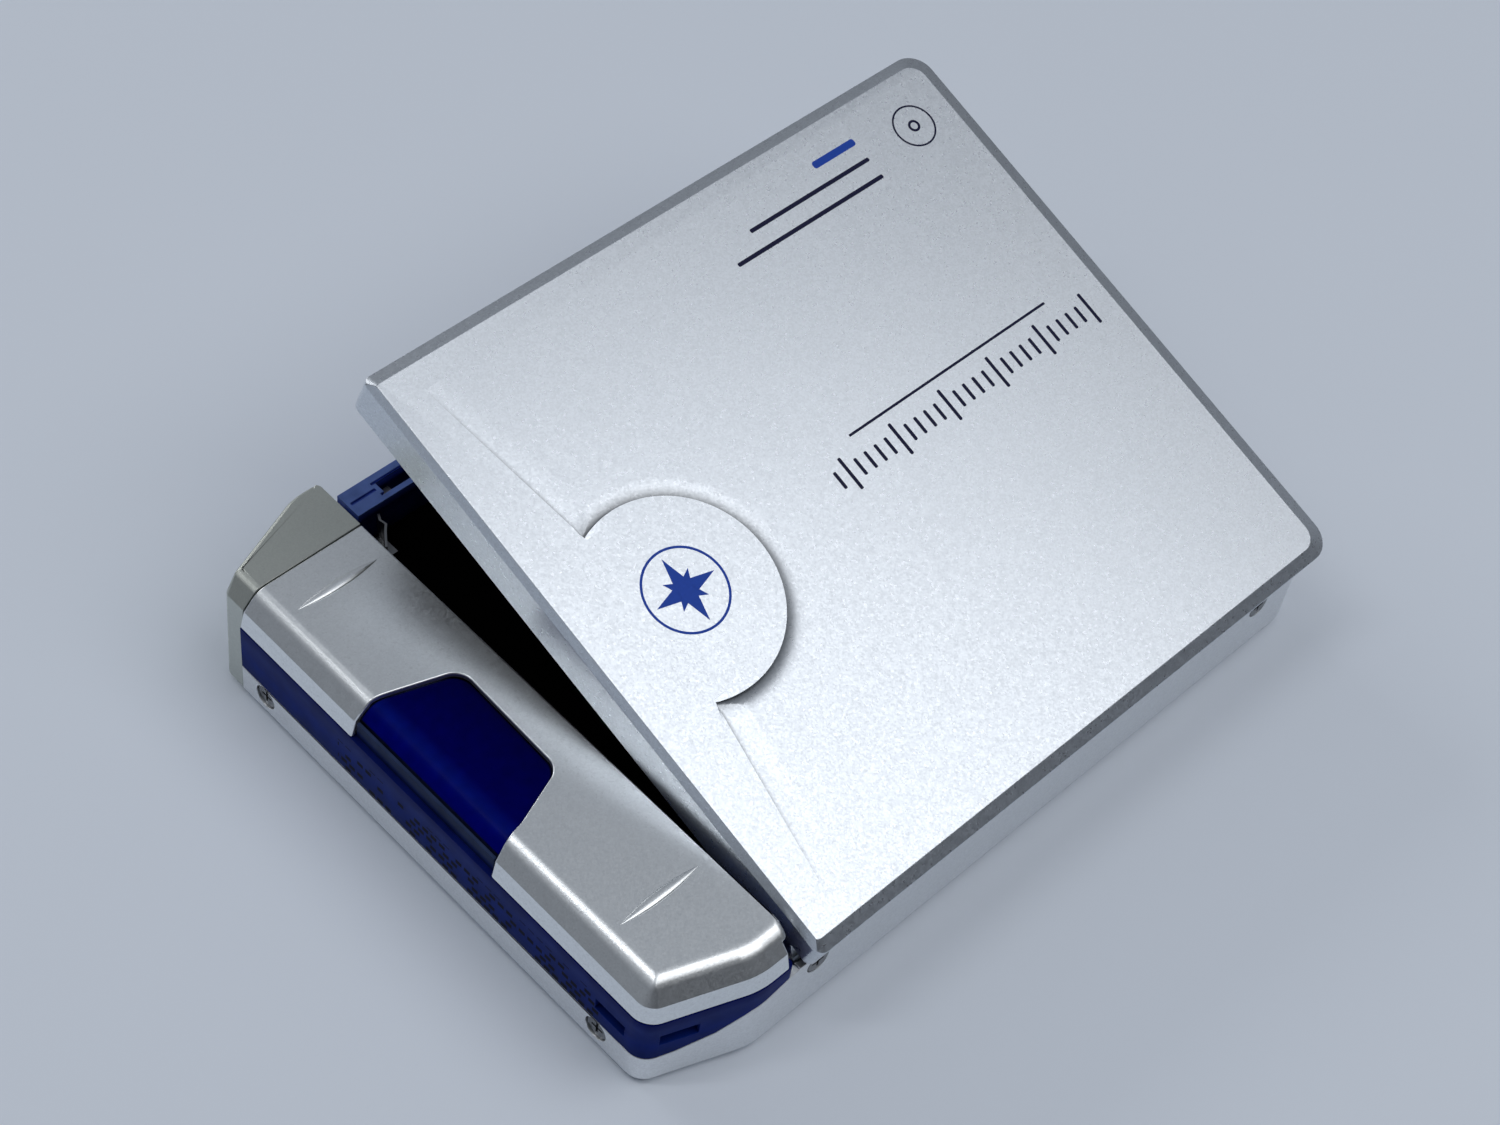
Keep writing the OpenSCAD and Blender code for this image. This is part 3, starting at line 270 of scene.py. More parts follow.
def block(name: str, low: Point, high: Point) -> Object:
    """Adds a rectangular block between two corners, as a cutter or a start."""
    clear()
    centre = [(a + b) / 2 for a, b in zip(low, high)]
    size = [b - a for a, b in zip(low, high)]
    bpy.ops.mesh.primitive_cube_add(size=1, location=centre, scale=size)
    return set_down(bpy.context.active_object, name)


def rod(name: str, x: float, length: float, radius: float, sides: int = 64) -> Object:
    """Adds a round rod on the line of the hinge.

    Args:
        name: Name of the new object.
        x: Place of its first end.
        length: Its length.
        radius: Its radius.
        sides: Faces round it.

    Returns:
        The rod.
    """
    clear()
    centre, turn = (x + length / 2, *HINGE[1:]), (0, math.pi / 2, 0)
    bpy.ops.mesh.primitive_cylinder_add(
        vertices=sides, radius=radius, depth=length, location=centre, rotation=turn
    )
    return set_down(bpy.context.active_object, name)


def twin(obj: Object) -> Object:
    """Copies an object with a mesh of its own."""
    other = obj.copy()
    other.data = obj.data.copy()
    bpy.context.scene.collection.objects.link(other)
    return other


def apply(obj: Object, kind: str, **settings: object) -> Object:
    """Adds a modifier with its settings and applies it."""
    take(obj)
    step = obj.modifiers.new(kind.lower(), kind)
    for label, value in settings.items():
        setattr(step, label, value)
    bpy.ops.object.modifier_apply(modifier=step.name)
    return obj


def combine(obj: Object, tool: Object, how: Cut = Cut.AWAY) -> Object:
    """Applies a boolean with a tool and removes the tool."""
    apply(obj, "BOOLEAN", operation=how.value, solver="EXACT", object=tool)
    bpy.data.objects.remove(tool)
    return obj


def join(obj: Object, *others: Object) -> Object:
    """Joins other meshes into one object."""
    take(obj)
    for other in others:
        other.select_set(True)
    bpy.ops.object.join()
    return obj


def round_edges(obj: Object, test: Callable[..., bool], width: float, segments: int = 5) -> None:
    """Bevels the edges that pass a test to a round of one width."""
    edit(obj)
    if pick(obj, test, Element.EDGE):
        bevel(width, segments, "EDGES")
    leave()


def soften(obj: Object, width: float, segments: int = 3) -> Object:
    """Merges stray vertices and rounds every sharp edge to one width."""
    edit(obj)
    bpy.ops.mesh.remove_doubles(threshold=MERGE)
    bpy.ops.mesh.dissolve_limited(angle_limit=FLAT)
    leave()
    limit = {"limit_method": "ANGLE", "angle_limit": SHARP, "use_clamp_overlap": False}
    return apply(obj, "BEVEL", width=width, segments=segments, **limit)


def even(obj: Object) -> Object:
    """Smooths the shading over the rounds and keeps it flat on the large faces."""
    edit(obj)
    bpy.ops.mesh.dissolve_degenerate(threshold=2 * NEAR)
    leave()
    bpy.ops.object.shade_smooth_by_angle(angle=SMOOTH)
    return apply(obj, "WEIGHTED_NORMAL", keep_sharp=True, weight=100)


def to_metres(obj: Object) -> Object:
    """Turns a piece modelled in millimetres into metres, with its place in its mesh."""
    take(obj)
    set_down(obj)
    edit(obj)
    scale(MM, MM, MM)
    leave()
    return obj


def copy_of(node: str, name: str) -> Object:
    """Copies a solid of the frame as a merged mesh of its own, in millimetres."""
    mesh = frame["nodes"][node].data.copy()
    obj = bpy.data.objects.new(name, mesh)
    bpy.context.scene.collection.objects.link(obj)
    for attribute in [a.name for a in mesh.attributes if a.name.startswith("custom_normal")]:
        mesh.attributes.remove(mesh.attributes[attribute])
    edit(obj)
    bpy.ops.mesh.remove_doubles(threshold=2e-7)
    scale(1 / MM, 1 / MM, 1 / MM)
    leave()
    return obj


class Plan:
    """Outlines of the case seen from above, each at its inset."""

    @staticmethod
    def section(inset: float, x0: float, y0: float) -> list[Corner]:
        """Battery section from the door seam to the rear, inset at its outer faces."""
        along = inset * STRETCH
        side_y = REAR - SLANT_DEEP + inset * TAPER - along
        rear_x = RIGHT - SLANT_WIDE - (along - inset) / TAPER
        return [
            Corner(x0, y0),
            Corner(RIGHT - inset, y0),
            Corner(RIGHT - inset, side_y, max(2.6 - inset, 0.4)),
            Corner(rear_x, REAR - inset, 8.0),
            Corner(x0, REAR - inset, 0.8),
        ]

    @staticmethod
    def door(i: float, j: float, y0: float) -> list[Corner]:
        """Battery door, inset by i at its right face and by j at its front and slanted faces."""
        front = FRONT - 1.05 + j
        side_y = -(REAR - SLANT_DEEP) - 0.55 - i * TAPER + j * STRETCH
        return [
            Corner(SECTION_LEFT, y0),
            Corner(SECTION_LEFT, front, 0.9),
            Corner(RIGHT - i - (side_y - front) / TAPER, front, 6.0),
            Corner(RIGHT - i, side_y, max(1.4 - i, 0.4)),
            Corner(RIGHT - i, y0),
        ]

    @staticmethod
    def window(inset: float) -> list[Corner]:
        """Cut-out of the cover for the window."""
        x0, y0, y1 = SECTION_LEFT + 4.2, -8.9, 6.5
        return [
            Corner(x0 + inset, y0 + inset, 2.2),
            Corner(RIGHT - 3.4, y0 - 2.9 + inset, 5.0),
            Corner(RIGHT + 2, y0 - 3.0 + inset),
            Corner(RIGHT + 2, y1 + 3.9 - inset),
            Corner(RIGHT - 4.6, y1 + 2.6 - inset, 5.0),
            Corner(x0 + 0.5 + inset, y1 - inset, 2.0),
        ]

    @staticmethod
    def lid(ends: float, left: float, right: float, ease: float = 1.0) -> list[Corner]:
        """Lid, inset at its ends, left and right; ease scales the rounding of its left corners."""
        return [
            Corner(LEFT + left, FRONT + ends, 3.0 * ease),
            Corner(LID_RIGHT - right, FRONT + ends, 1.0),
            Corner(LID_RIGHT - right, REAR - ends, 1.2),
            Corner(LEFT + left, REAR - ends, 3.0 * ease),
        ]


class Sum:
    """Value in a node tree, on which plain arithmetic adds Math nodes."""

    def __init__(self, tree: Tree, socket: Socket) -> None:
        """Wraps an output of a tree."""
        self.tree, self.socket = tree, socket

    def do(self, operation: str, other: "Sum | float" = 0.0, swap: bool = False) -> "Sum":
        """Adds one Math node.

        Args:
            operation: Name of the sum.
            other: Its other value.
            swap: Whether the other value comes first.

        Returns:
            The result.
        """
        node = self.tree.nodes.new("ShaderNodeMath")
        node.operation = operation
        for socket, value in zip(node.inputs, (other, self) if swap else (self, other)):
            feed(self.tree, value, socket)
        return Sum(self.tree, node.outputs[0])

    __add__ = partialmethod(do, "ADD")
    __sub__ = partialmethod(do, "SUBTRACT")
    __rsub__ = partialmethod(do, "SUBTRACT", swap=True)
    __mul__ = partialmethod(do, "MULTIPLY")
    __truediv__ = partialmethod(do, "DIVIDE")
    __pow__ = partialmethod(do, "POWER")
    __gt__ = partialmethod(do, "GREATER_THAN")
    __lt__ = partialmethod(do, "LESS_THAN")


Value = Sum | Socket | float | Sequence[float]
Grain = tuple[Sum, Sum, Socket]


def feed(tree: Tree, value: Value, socket: Socket) -> None:
    """Links a value to an input, or sets a plain one on it."""
    if isinstance(value, Sum):
        value = value.socket
    if isinstance(value, Socket):
        tree.links.new(value, socket)
    else:
        socket.default_value = value


def add(tree: Tree, kind: str, **inputs: Value) -> bpy.types.Node:
    """Adds a shader node and feeds its inputs, where _ in a label stands for a space."""
    node = tree.nodes.new(f"ShaderNode{kind}")
    for label, value in inputs.items():
        feed(tree, value, node.inputs[label.replace("_", " ")])
    return node


def split(tree: Tree, vector: Socket) -> list[Sum]:
    """Splits a vector into its three parts."""
    return [Sum(tree, s) for s in add(tree, "SeparateXYZ", Vector=vector).outputs]


def place(tree: Tree) -> Socket:
    """Gives the place on the part, in metres."""
    return add(tree, "TexCoord").outputs["Object"]


class Effects:
    """Shader node groups that several finishes use, each built once."""

    @staticmethod
    def _group(name: str, inputs: dict[str, float], outputs: Sequence[str]) -> Tree:
        """Starts a node group with plain value inputs and outputs."""
        tree = bpy.data.node_groups.new(name, "ShaderNodeTree")
        new = tree.interface.new_socket
        for label, value in inputs.items():
            new(label, in_out="INPUT", socket_type="NodeSocketFloat").default_value = value
        for label in outputs:
            new(label, in_out="OUTPUT", socket_type="NodeSocketFloat")
        tree.nodes.new("NodeGroupInput").name = "in"
        tree.nodes.new("NodeGroupOutput").name = "out"
        return tree

    @staticmethod
    def _give(tree: Tree, **results: Value) -> Tree:
        """Links a group's results to its outputs."""
        for label, value in results.items():
            feed(tree, value, tree.nodes["out"].inputs[label])
        return tree

    @staticmethod
    @cache
    def flecks() -> Tree:
        """Grains of metallic paint: a brightness factor, a roughness offset and a height."""
        settings = {"Scale": 7000.0, "Contrast": 0.10, "Cloud": 0.04, "Specks": 0.0}
        tree = Effects._group("flecks", settings, ["Brightness", "Roughness", "Height"])
        given = {label: Sum(tree, tree.nodes["in"].outputs[label]) for label in settings}
        cells = add(tree, "TexVoronoi", Vector=place(tree), Scale=given["Scale"])
        parts = add(tree, "SeparateColor", Color=cells.outputs["Color"]).outputs
        red, green = Sum(tree, parts["Red"]), Sum(tree, parts["Green"])
        noise = add(tree, "TexNoise", Vector=place(tree), Scale=1800.0, Detail=2.0)
        grain = (red - 0.5) * given["Contrast"]
        drift = (Sum(tree, noise.outputs["Fac"]) - 0.5) * given["Cloud"]
        dark = (green > 0.94) * given["Specks"]
        bright = grain + drift + 1.0 - dark
        rough = (green - 0.5) * given["Contrast"]
        return Effects._give(tree, Brightness=bright, Roughness=rough, Height=parts["Blue"])

    @staticmethod
    @cache
    def mottle() -> Tree:
        """Slow uneven patches, as dust and handling leave: a mask from 0 to 1 and a height."""
        tree = Effects._group("mottle", {"Scale": 300.0}, ["Mask", "Height"])
        scale = tree.nodes["in"].outputs["Scale"]
        noise = add(tree, "TexNoise", Vector=place(tree), Scale=scale, Detail=5.0)
        patches = noise.outputs["Fac"]
        return Effects._give(tree, Mask=patches, Height=patches)


@dataclass(frozen=True)
class Finish:
    """A moulded, pressed or printed surface, with the uneven patches that break it up."""

    name: str
    colour: Point
    roughness: float
    metallic: float = 0.0
    contrast: float = 0.06
    scale: float = 900.0
    bump: float = 0.04
    coat: float = 0.0
    gloss: float = 0.5
    swing: float = 0.0

    def material(self) -> bpy.types.Material:
        """Gives the material, built at its first use."""
        return bpy.data.materials.get(self.name) or self._build()

    def _build(self) -> bpy.types.Material:
        """Sets the constant values on the shader and joins the varying ones to it."""
        made = bpy.data.materials.new(self.name)
        made.use_nodes = True
        tree = made.node_tree
        shader = tree.nodes["Principled BSDF"]
        shader.inputs["Base Color"].default_value = (*self.colour, 1)
        shader.inputs["Metallic"].default_value = self.metallic
        shader.inputs["Roughness"].default_value = self.roughness
        shader.inputs["Specular IOR Level"].default_value = self.gloss
        shader.inputs["Coat Weight"].default_value = self.coat
        shader.inputs["Coat Roughness"].default_value = 0.08
        bright, rough, height = self._grain(tree)
        mix = add(tree, "Mix", Factor=1.0)
        mix.data_type, mix.blend_type = "RGBA", "MULTIPLY"
        feed(tree, self._colour(tree), mix.inputs[6])
        feed(tree, bright, mix.inputs[7])
        feed(tree, mix.outputs[2], shader.inputs["Base Color"])
        feed(tree, rough + self.roughness, shader.inputs["Roughness"])
        bump = add(tree, "Bump", Strength=self.bump, Distance=0.00005, Height=height)
        feed(tree, bump.outputs["Normal"], shader.inputs["Normal"])
        return made

    def _colour(self, tree: Tree) -> Socket | Sequence[float]:
        """Gives the colour before the grain."""
        return (*self.colour, 1)

    def _grain(self, tree: Tree) -> Grain:
        """Gives the factor on the colour, what is added to the roughness, and the bump's height."""
        out = self._effect(tree, Effects.mottle(), Scale=self.scale)
        bright = self._spread(tree, out["Mask"], 1 - self.contrast, 1 + self.contrast)
        swing = self.swing or self.contrast / 2
        return bright, self._spread(tree, out["Mask"], -swing, swing), out["Height"]

    @staticmethod
    def _effect(tree: Tree, effect: Tree, **values: float) -> bpy.types.NodeOutputs:
        """Places a shared effect in the material with its own values and gives its outputs."""
        group = tree.nodes.new("ShaderNodeGroup")
        group.node_tree = effect
        for label, value in values.items():
            group.inputs[label].default_value = value
        return group.outputs

    @staticmethod
    def _spread(tree: Tree, mask: Socket, low: float, high: float) -> Sum:
        """Maps a mask from 0 to 1 onto a range."""
        node = add(tree, "MapRange", Value=mask, To_Min=low, To_Max=high)
        return Sum(tree, node.outputs["Result"])


@dataclass(frozen=True)
class MetallicPaint(Finish):
    """Sprayed paint with fine metal flecks, some of them dark."""

    specks: float = 0.0
    cloud: float = 0.04

    def _grain(self, tree: Tree) -> Grain:
        """Gives the flecks' factor on the colour, change of roughness and height."""
        values = {"Contrast": self.contrast, "Cloud": self.cloud, "Specks": self.specks}
        out = self._effect(tree, Effects.flecks(), Scale=self.scale, **values)
        return Sum(tree, out["Brightness"]), Sum(tree, out["Roughness"]), out["Height"]


@dataclass(frozen=True)
class LidPaint(MetallicPaint):
    """Metallic paint with painted shade in the scoop round the tab and along the two creases."""

    scoop_width: float = 2.6
    scoop_shade: float = 0.72
    crease_width: float = 0.7
    crease_shade: float = 0.70

    def _grain(self, tree: Tree) -> Grain:
        """Gives the flecks, with painted shade where the lid is pressed in."""
        bright, rough, height = super()._grain(tree)
        return bright * self._light(tree), rough, height

    def _light(self, tree: Tree) -> Sum:
        """Works out how much light the pressed places keep, from their place on the closed lid."""
        pivot = Vector(HINGE)
        shift = pivot - Matrix.Rotation(LID_TURN, 3, "X") @ pivot
        closed = add(tree, "Mapping", Vector=place(tree), Location=shift)
        closed.inputs["Rotation"].default_value = (LID_TURN, 0, 0)
        closed.inputs["Scale"].default_value = (1 / MM, 1 / MM, 1 / MM)
        x, y, _ = split(tree, closed.outputs["Vector"])
        y, side = y.do("ABSOLUTE"), x - TAB_X
        reach = (side * side + y * y).do("SQRT")
        # Painted shade round the tab's rim and along the creases beside it
        scoop = self._fade(reach - TAB_RADIUS, self.scoop_width) * (x < TAB_LINE) * self.scoop_shade
        start = math.sqrt(TAB_RADIUS**2 - (TAB_LINE - TAB_X) ** 2)
        along = (y - start) / (CREASE_END - start)
        crease = self._fade(along * CREASE_SLIP + TAB_LINE - x, self.crease_width) * (along > 0.0)
        crease = crease * (1.0 - along).do("MAXIMUM") ** 0.5 * self.crease_shade
        return 1.0 - scoop.do("MAXIMUM", crease)

    @staticmethod
    def _fade(distance: Sum, width: float) -> Sum:
        """Falls from 1 at an edge to 0 at a width from it, and is 0 on its other side."""
        return (1.0 - distance / width).do("MAXIMUM") ** 2.2 * (distance > 0.0)


@dataclass(frozen=True)
class TintedResin(Finish):
    """Tinted clear plastic whose colour changes along one axis, in millimetres.

    With marks above 0 it has rows of short printed dashes on the outer strip, and the ledge under
    the window gets painted shade.
    """

    swing: float = 0.04
    axis: Axis = Axis.Z
    stops: tuple[tuple[float, Point], ...] = ()
    # Strength of the printed dashes and of the painted shade on the ledge
    marks: float = 0.0
    dash: Pair = (1.3, 1.0)
    dash_gap: float = 0.2
    dash_share: float = 0.62
    dash_box: tuple[Pair, Pair, Pair] = ((49.2, 60.0), (-14.0, 27.0), (5.1, 9.35))
    ledge: Pair = (40.0, 11.85)
    ledge_shade: float = 0.87

    def _colour(self, tree: Tree) -> Socket:
        """Gives the gradient's colour."""
        (first, start), *inner, (last, end) = self.stops
        at = split(tree, place(tree))[self.axis.value]
        span = add(tree, "MapRange", Value=at, From_Min=first * MM, From_Max=last * MM)
        ramp = add(tree, "ValToRGB", Fac=span.outputs["Result"])
        elements = ramp.color_ramp.elements
        elements[0].color, elements[1].color = (*start, 1), (*end, 1)
        for height, shade in inner:
            elements.new((height - first) / (last - first)).color = (*shade, 1)
        return ramp.outputs["Color"]

    def _grain(self, tree: Tree) -> Grain:
        """Gives the murky inside, with the printed dashes and the ledge's painted shade if there are
        marks.
        """
        bright, rough, height = super()._grain(tree)
        return bright * self._light(tree) if self.marks else bright, rough, height

    def _light(self, tree: Tree) -> Sum:
        """Works out the factor on the colour: printed dashes on the strip and painted shade on the
        ledge.
        """
        at = split(tree, place(tree))
        plane = add(tree, "CombineXYZ", X=at[1] * (1 / MM), Y=at[2] * (1 / MM))
        (width, height), white = self.dash, (1, 1, 1, 1)
        sizes = {"Mortar_Size": self.dash_gap, "Brick_Width": width, "Row_Height": height}
        shades = {"Color1": (0, 0, 0, 1), "Color2": white, "Mortar": white}
        given = {"Vector": plane.outputs[0], "Scale": 1.0, **sizes, **shades}
        bricks = add(tree, "TexBrick", **given)
        dash = Sum(tree, bricks.outputs["Color"]) < self.dash_share
        for value, (low, high) in zip(at, self.dash_box):
            dash = dash * (value > low * MM) * (value < high * MM)
        x0, z0 = self.ledge
        # Painted shade on the ledge under the window
        ledge = (at[0] > x0 * MM) * (at[2] > z0 * MM) * self.ledge_shade
        return 1.0 - dash.do("MAXIMUM", ledge) * self.marks


# Finishes: name, colour, roughness, metallic, contrast, scale, bump and what each has besides
LID_PAINT = LidPaint("lid_paint", (0.67, 0.71, 0.76), 0.33, 0.93, 0.12, 5200.0, 0.035)
CASE_PAINT = MetallicPaint("case_paint", (0.78, 0.80, 0.82), 0.36, 0.9, 0.10, 5200.0, 0.04)
COVER_PAINT = MetallicPaint(
    "cover_paint", (0.80, 0.83, 0.85), 0.33, 0.94, 0.08, 5200.0, 0.012, specks=0.06
)
DOOR_PAINT = MetallicPaint("door_paint", (0.52, 0.545, 0.51), 0.38, 0.9, 0.08, 7000.0, 0.06)
KEY_PAINT = MetallicPaint("key_paint", (0.70, 0.72, 0.74), 0.32, 0.9, 0.08, 7000.0, 0.05)
BLUE_RESIN = TintedResin(
    *("blue_strip_resin", (0.008, 0.015, 0.085), 0.30, 0.0, 0.45, 420.0, 0.10),
    gloss=0.015,
    stops=(
        *((4.8, (0.004, 0.014, 0.100)), (7.5, (0.004, 0.018, 0.165))),
        *((10.3, (0.018, 0.032, 0.160)), (11.7, (0.004, 0.010, 0.110))),
        *((12.6, (0.060, 0.110, 0.480)), (13.0, (0.115, 0.180, 0.430))),
    ),
    marks=0.92,
)
DARK_WINDOW = TintedResin(
    *("window_resin", (0.0, 0.0, 0.07), 0.25, 0.0, 0.35, 700.0, 0.05),
    gloss=0.02,
    axis=Axis.X,
    # Tone across the window in mm: its own navy tint, with painted shade along the inner edge, a
    # painted teal highlight on the ridge and painted light on the slanted face
    stops=(
        *((37.4, (0.0, 0.0, 0.022)), (38.3, (0.0, 0.0, 0.055)), (44.8, (0.0, 0.0, 0.082))),
        *((46.4, (0.001, 0.006, 0.150)), (47.4, (0.0, 0.001, 0.140)), (49.4, (0.0, 0.0, 0.120))),
    ),
)
# Near-black and glossless: the inner parts' own black paint, made darker still as painted shade of
# the dark inside under the lid
BLACK_PAINT_AND_SHADE = Finish("black_paint_and_shade", (0.0012,) * 3, 0.75, 0.0, 0.3, 800.0, 0.05, gloss=0.0)
BLACK_MOULDED = Finish("black_moulded", (0.014, 0.014, 0.016), 0.45, 0.0, 0.3, 1400.0, 0.08)
RUBBER = Finish("rubber", (0.018, 0.018, 0.018), 0.8, 0.0, 0.3, 900.0, 0.1)
BOARD = Finish("board", (0.02, 0.10, 0.05), 0.4, 0.0, 0.3, 600.0, 0.05, coat=0.2)
CHIP = Finish("chip", (0.025, 0.025, 0.028), 0.55, 0.0, 0.25, 1600.0, 0.1)
FLEX = Finish("flex", (0.35, 0.15, 0.03), 0.35, 0.0, 0.2, 500.0, 0.03, coat=0.3)
STEEL = Finish("steel", (0.55, 0.555, 0.57), 0.28, 1.0, 0.15, 700.0, 0.05)
DARK_STEEL = Finish("dark_steel", (0.20, 0.205, 0.215), 0.32, 1.0, 0.2, 900.0, 0.06)
BRASS = Finish("brass", (0.62, 0.47, 0.20), 0.3, 1.0, 0.15, 700.0, 0.05)
SLEEVE = Finish("sleeve", (0.05, 0.07, 0.18), 0.3, 0.0, 0.15, 400.0, 0.02, coat=0.4)
LENS = Finish("lens", (0.25, 0.32, 0.55), 0.08, 0.0, 0.08, 500.0, 0.0, coat=1.0)
GEAR = Finish("gear", (0.72, 0.70, 0.62), 0.5, 0.0, 0.1, 900.0, 0.05)
BLUE_INK = Finish("blue_ink", (0.019, 0.072, 0.44), 0.42, 0.0, 0.12, 2500.0, 0.03, gloss=0.12)
NAVY_INK = Finish("navy_ink", (0.010, 0.011, 0.045), 0.42, 0.0, 0.12, 2500.0, 0.03, gloss=0.12)
FLOOR_PAPER = Finish("floor_paper", (0.74, 0.80, 0.89), 0.62, 0.0, 0.015, 6.0, 0.0)

NODES_OF = {
    CASE_PAINT: "bottom_case",
    BLUE_RESIN: "mid_frame",
    COVER_PAINT: "section_cover",
    DARK_WINDOW: "cell_window",
    LID_PAINT: "lid_plate",
    DOOR_PAINT: "battery_door",
    KEY_PAINT: "open_slider hold_switch key_play key_stop key_skip_back key_skip_forward"
    " key_volume_up key_volume_down",
    DARK_STEEL: "case_screws holder_side_spring clamp_magnet",
    BLACK_PAINT_AND_SHADE: "chassis_plate lid_liner disc_holder",
    BLACK_MOULDED: "headphone_jack power_jack turntable pickup_carriage",
    STEEL: "spindle_motor sled_motor guide_rods gear_axle holder_pins hinge_pins lid_hook"
    " open_catch",
    BRASS: "cell_contact door_contact motor_pinion",
    BOARD: "main_board key_board",
    RUBBER: "chassis_dampers",
    CHIP: "board_chips",
    FLEX: "motor_flex",
    SLEEVE: "battery_cell",
    LENS: "objective_lens",
    GEAR: "drive_gear",
}
NODE_FINISH = {node: finish for finish, nodes in NODES_OF.items() for node in nodes.split()}
BODIES = frame["record"]["behaviour"]["bodies"]
BODY_OF = {node: body for body, nodes in BODIES.items() for node in nodes}


def dress(obj: Object, finish: Finish) -> None:
    """Gives a mesh one finish all over."""
    obj.data.materials.clear()
    obj.data.materials.append(finish.material())


def settle(obj: Object, node: str, finish: Finish, replaces: bool = True) -> None:
    """Hands a finished piece over to the frame.

    Args:
        obj: The piece, in millimetres at its place.
        node: The solid whose body it takes.
        finish: Its finish.
        replaces: Whether it stands for that solid or lies on it.
    """
    dress(to_metres(even(obj)), finish)
    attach(obj, BODY_OF[node])
    if replaces:
        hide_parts(node)
    verb = "stands for" if replaces else "lies on"
    LOG.info("%s: %s %s, %d faces", obj.name, verb, node, len(obj.data.polygons))


@dataclass
class SoftenedNodes:
    """Solids that keep their form and get rounded edges."""

    widths: dict[str, float]

    def build(self) -> None:
        """Copies each solid, rounds its edges and hands it over."""
        for node, width in self.widths.items():
            obj = copy_of(node, f"{node}_soft")
            settle(soften(obj, width), node, NODE_FINISH[node])


@dataclass
class Lid:
    """Pressed lid with its bevelled border, the scooped tab and the two creases beside it."""

    wall: float = 0.85
    thickness: float = 0.7
    bottom: float = 11.4
    right_bottom: float = 10.2
    bevel: float = 0.85
    bevel_ends: float = 1.45
    bevel_left: float = 1.95
    top_ease: float = 0.68
    steep: Pair = (0.5, 1.05)
    edge: float = 0.06
    edge_turn: float = math.radians(12)
    hollow_ease: float = 0.75
    crown: tuple[float, float, float, float] = (1.9, 2.4, 1.4, 0.5)
    rail_room: Pair = (3.85, 13.25)
    swing: float = 3.3
    back_room: float = 2.6
    scoop: Pair = (2.2, 0.34)
    scoop_power: float = 2.6
    crease_width: float = 3.0
    crease_depth: float = 0.24
    crease_end_depth: float = 0.04
    ear: float = 0.9
    ear_eye: float = 1.2
    ear_bore: float = 0.55
    ear_gaps: Pair = (2.05, 0.13)
    ear_arm: tuple[Pair, ...] = (
        *((-1.1, -0.3), (-2.5, 3.2), (-2.5, 6.72), (1.0, 6.72)),
        *((1.0, 5.4), (-1.1, 3.4), (0.5, 0.8)),
    )

    def build(self) -> None:
        """Models the lid closed, opens it and hands it over."""
        lid = self._shell()
        combine(lid, self._scoop_tool())
        for side in (-1, 1):
            combine(lid, self._crease_tool(side))
        join(lid, *self._ears())
        lid.name = "lid_plate_pressed"
        self.open(lid)
        settle(lid, "lid_plate", LID_PAINT)

    def _shell(self) -> Object:
        """Raises the body, hollows it from below and draws the right skirt down."""
        edge = Plan.lid(0, 0, 0)
        top = Plan.lid(self.bevel_ends, self.bevel_left, 0.0, self.top_ease)
        levels = [(self.bottom, edge), (CASE_TOP - self.bevel, edge), (CASE_TOP, top)]
        lid = stack("lid", levels, 10)
        self._border(lid)
        skirt = prism("skirt", edge, self.right_bottom, self.bottom + 1, 10)
        keep = block("keep", (LID_RIGHT - self.wall, -FAR_Y, 5), (LID_RIGHT + 1, FAR_Y, 15))
        combine(lid, combine(skirt, keep, Cut.COMMON), Cut.TOGETHER)
        low, inside = self.bottom - 3, CASE_TOP - self.thickness
        plan = Plan.lid(self.wall, self.wall, self.wall, self.hollow_ease)
        combine(lid, prism("hollow", plan, low, inside - self.bevel))
        combine(lid, prism("crown", Plan.lid(*self.crown), low, inside))
        depth, height = self.rail_room
        end = (LID_RIGHT - self.wall, FRONT + depth, height)
        combine(lid, block("front", (LEFT + self.wall, -FAR_Y, 0), end))
        combine(lid, rod("swing", -FAR_X, 2 * FAR_X, self.swing, 96))
        end = (FAR_X, FAR_Y, HINGE[2] + self.back_room)
        return combine(lid, block("back", (-FAR_X, HINGE[1], 0), end))

    def _border(self, lid: Object) -> None:
        """Slices the steep border off the right edge and rounds the upper edges a little."""
        run, drop = self.steep
        start, end = (LID_RIGHT, -FAR_Y, CASE_TOP - drop), (LID_RIGHT + 2, FAR_Y, CASE_TOP + 1)
        slope = block("slope", start, end)
        edit(slope)
        pick(slope, lambda v: v.co.x < LID_RIGHT + 1 and v.co.z > CASE_TOP)
        move(-run * (1 + drop) / drop, 0, 0)
        leave()
        combine(lid, slope)
        low = CASE_TOP - max(self.bevel, drop) - 0.05

        def is_upper(edge: bmesh.types.BMEdge) -> bool:
            """Tells the folds of the border from the rest."""
            return all(v.co.z > low for v in edge.verts) and edge.calc_face_angle(0) > self.edge_turn

        round_edges(lid, is_upper, self.edge, 3)

    def _scoop_tool(self) -> Object:
        """Spins the section of the scoop round the tab's centre."""
        (width, depth), rim = self.scoop, TAB_RADIUS
        rise = [(k / 10, (1 - k / 10) ** self.scoop_power) for k in range(11)]
        slope = [(rim + width * out, CASE_TOP - depth * down) for out, down in rise]
        section = [(rim, CASE_TOP + 1), *slope, (rim + width, CASE_TOP + 1)]
        half = math.acos((TAB_LINE - TAB_X) / rim)
        cos, sin = math.cos(half), math.sin(half)
        tool = outline("scoop", [(TAB_X + r * cos, -r * sin, z) for r, z in section])
        select()
        sweep = 2 * math.pi - 2 * half
        bpy.ops.mesh.spin(steps=72, angle=sweep, center=(TAB_X, 0, 0), axis=(0, 0, 1))
        close()
        return tool

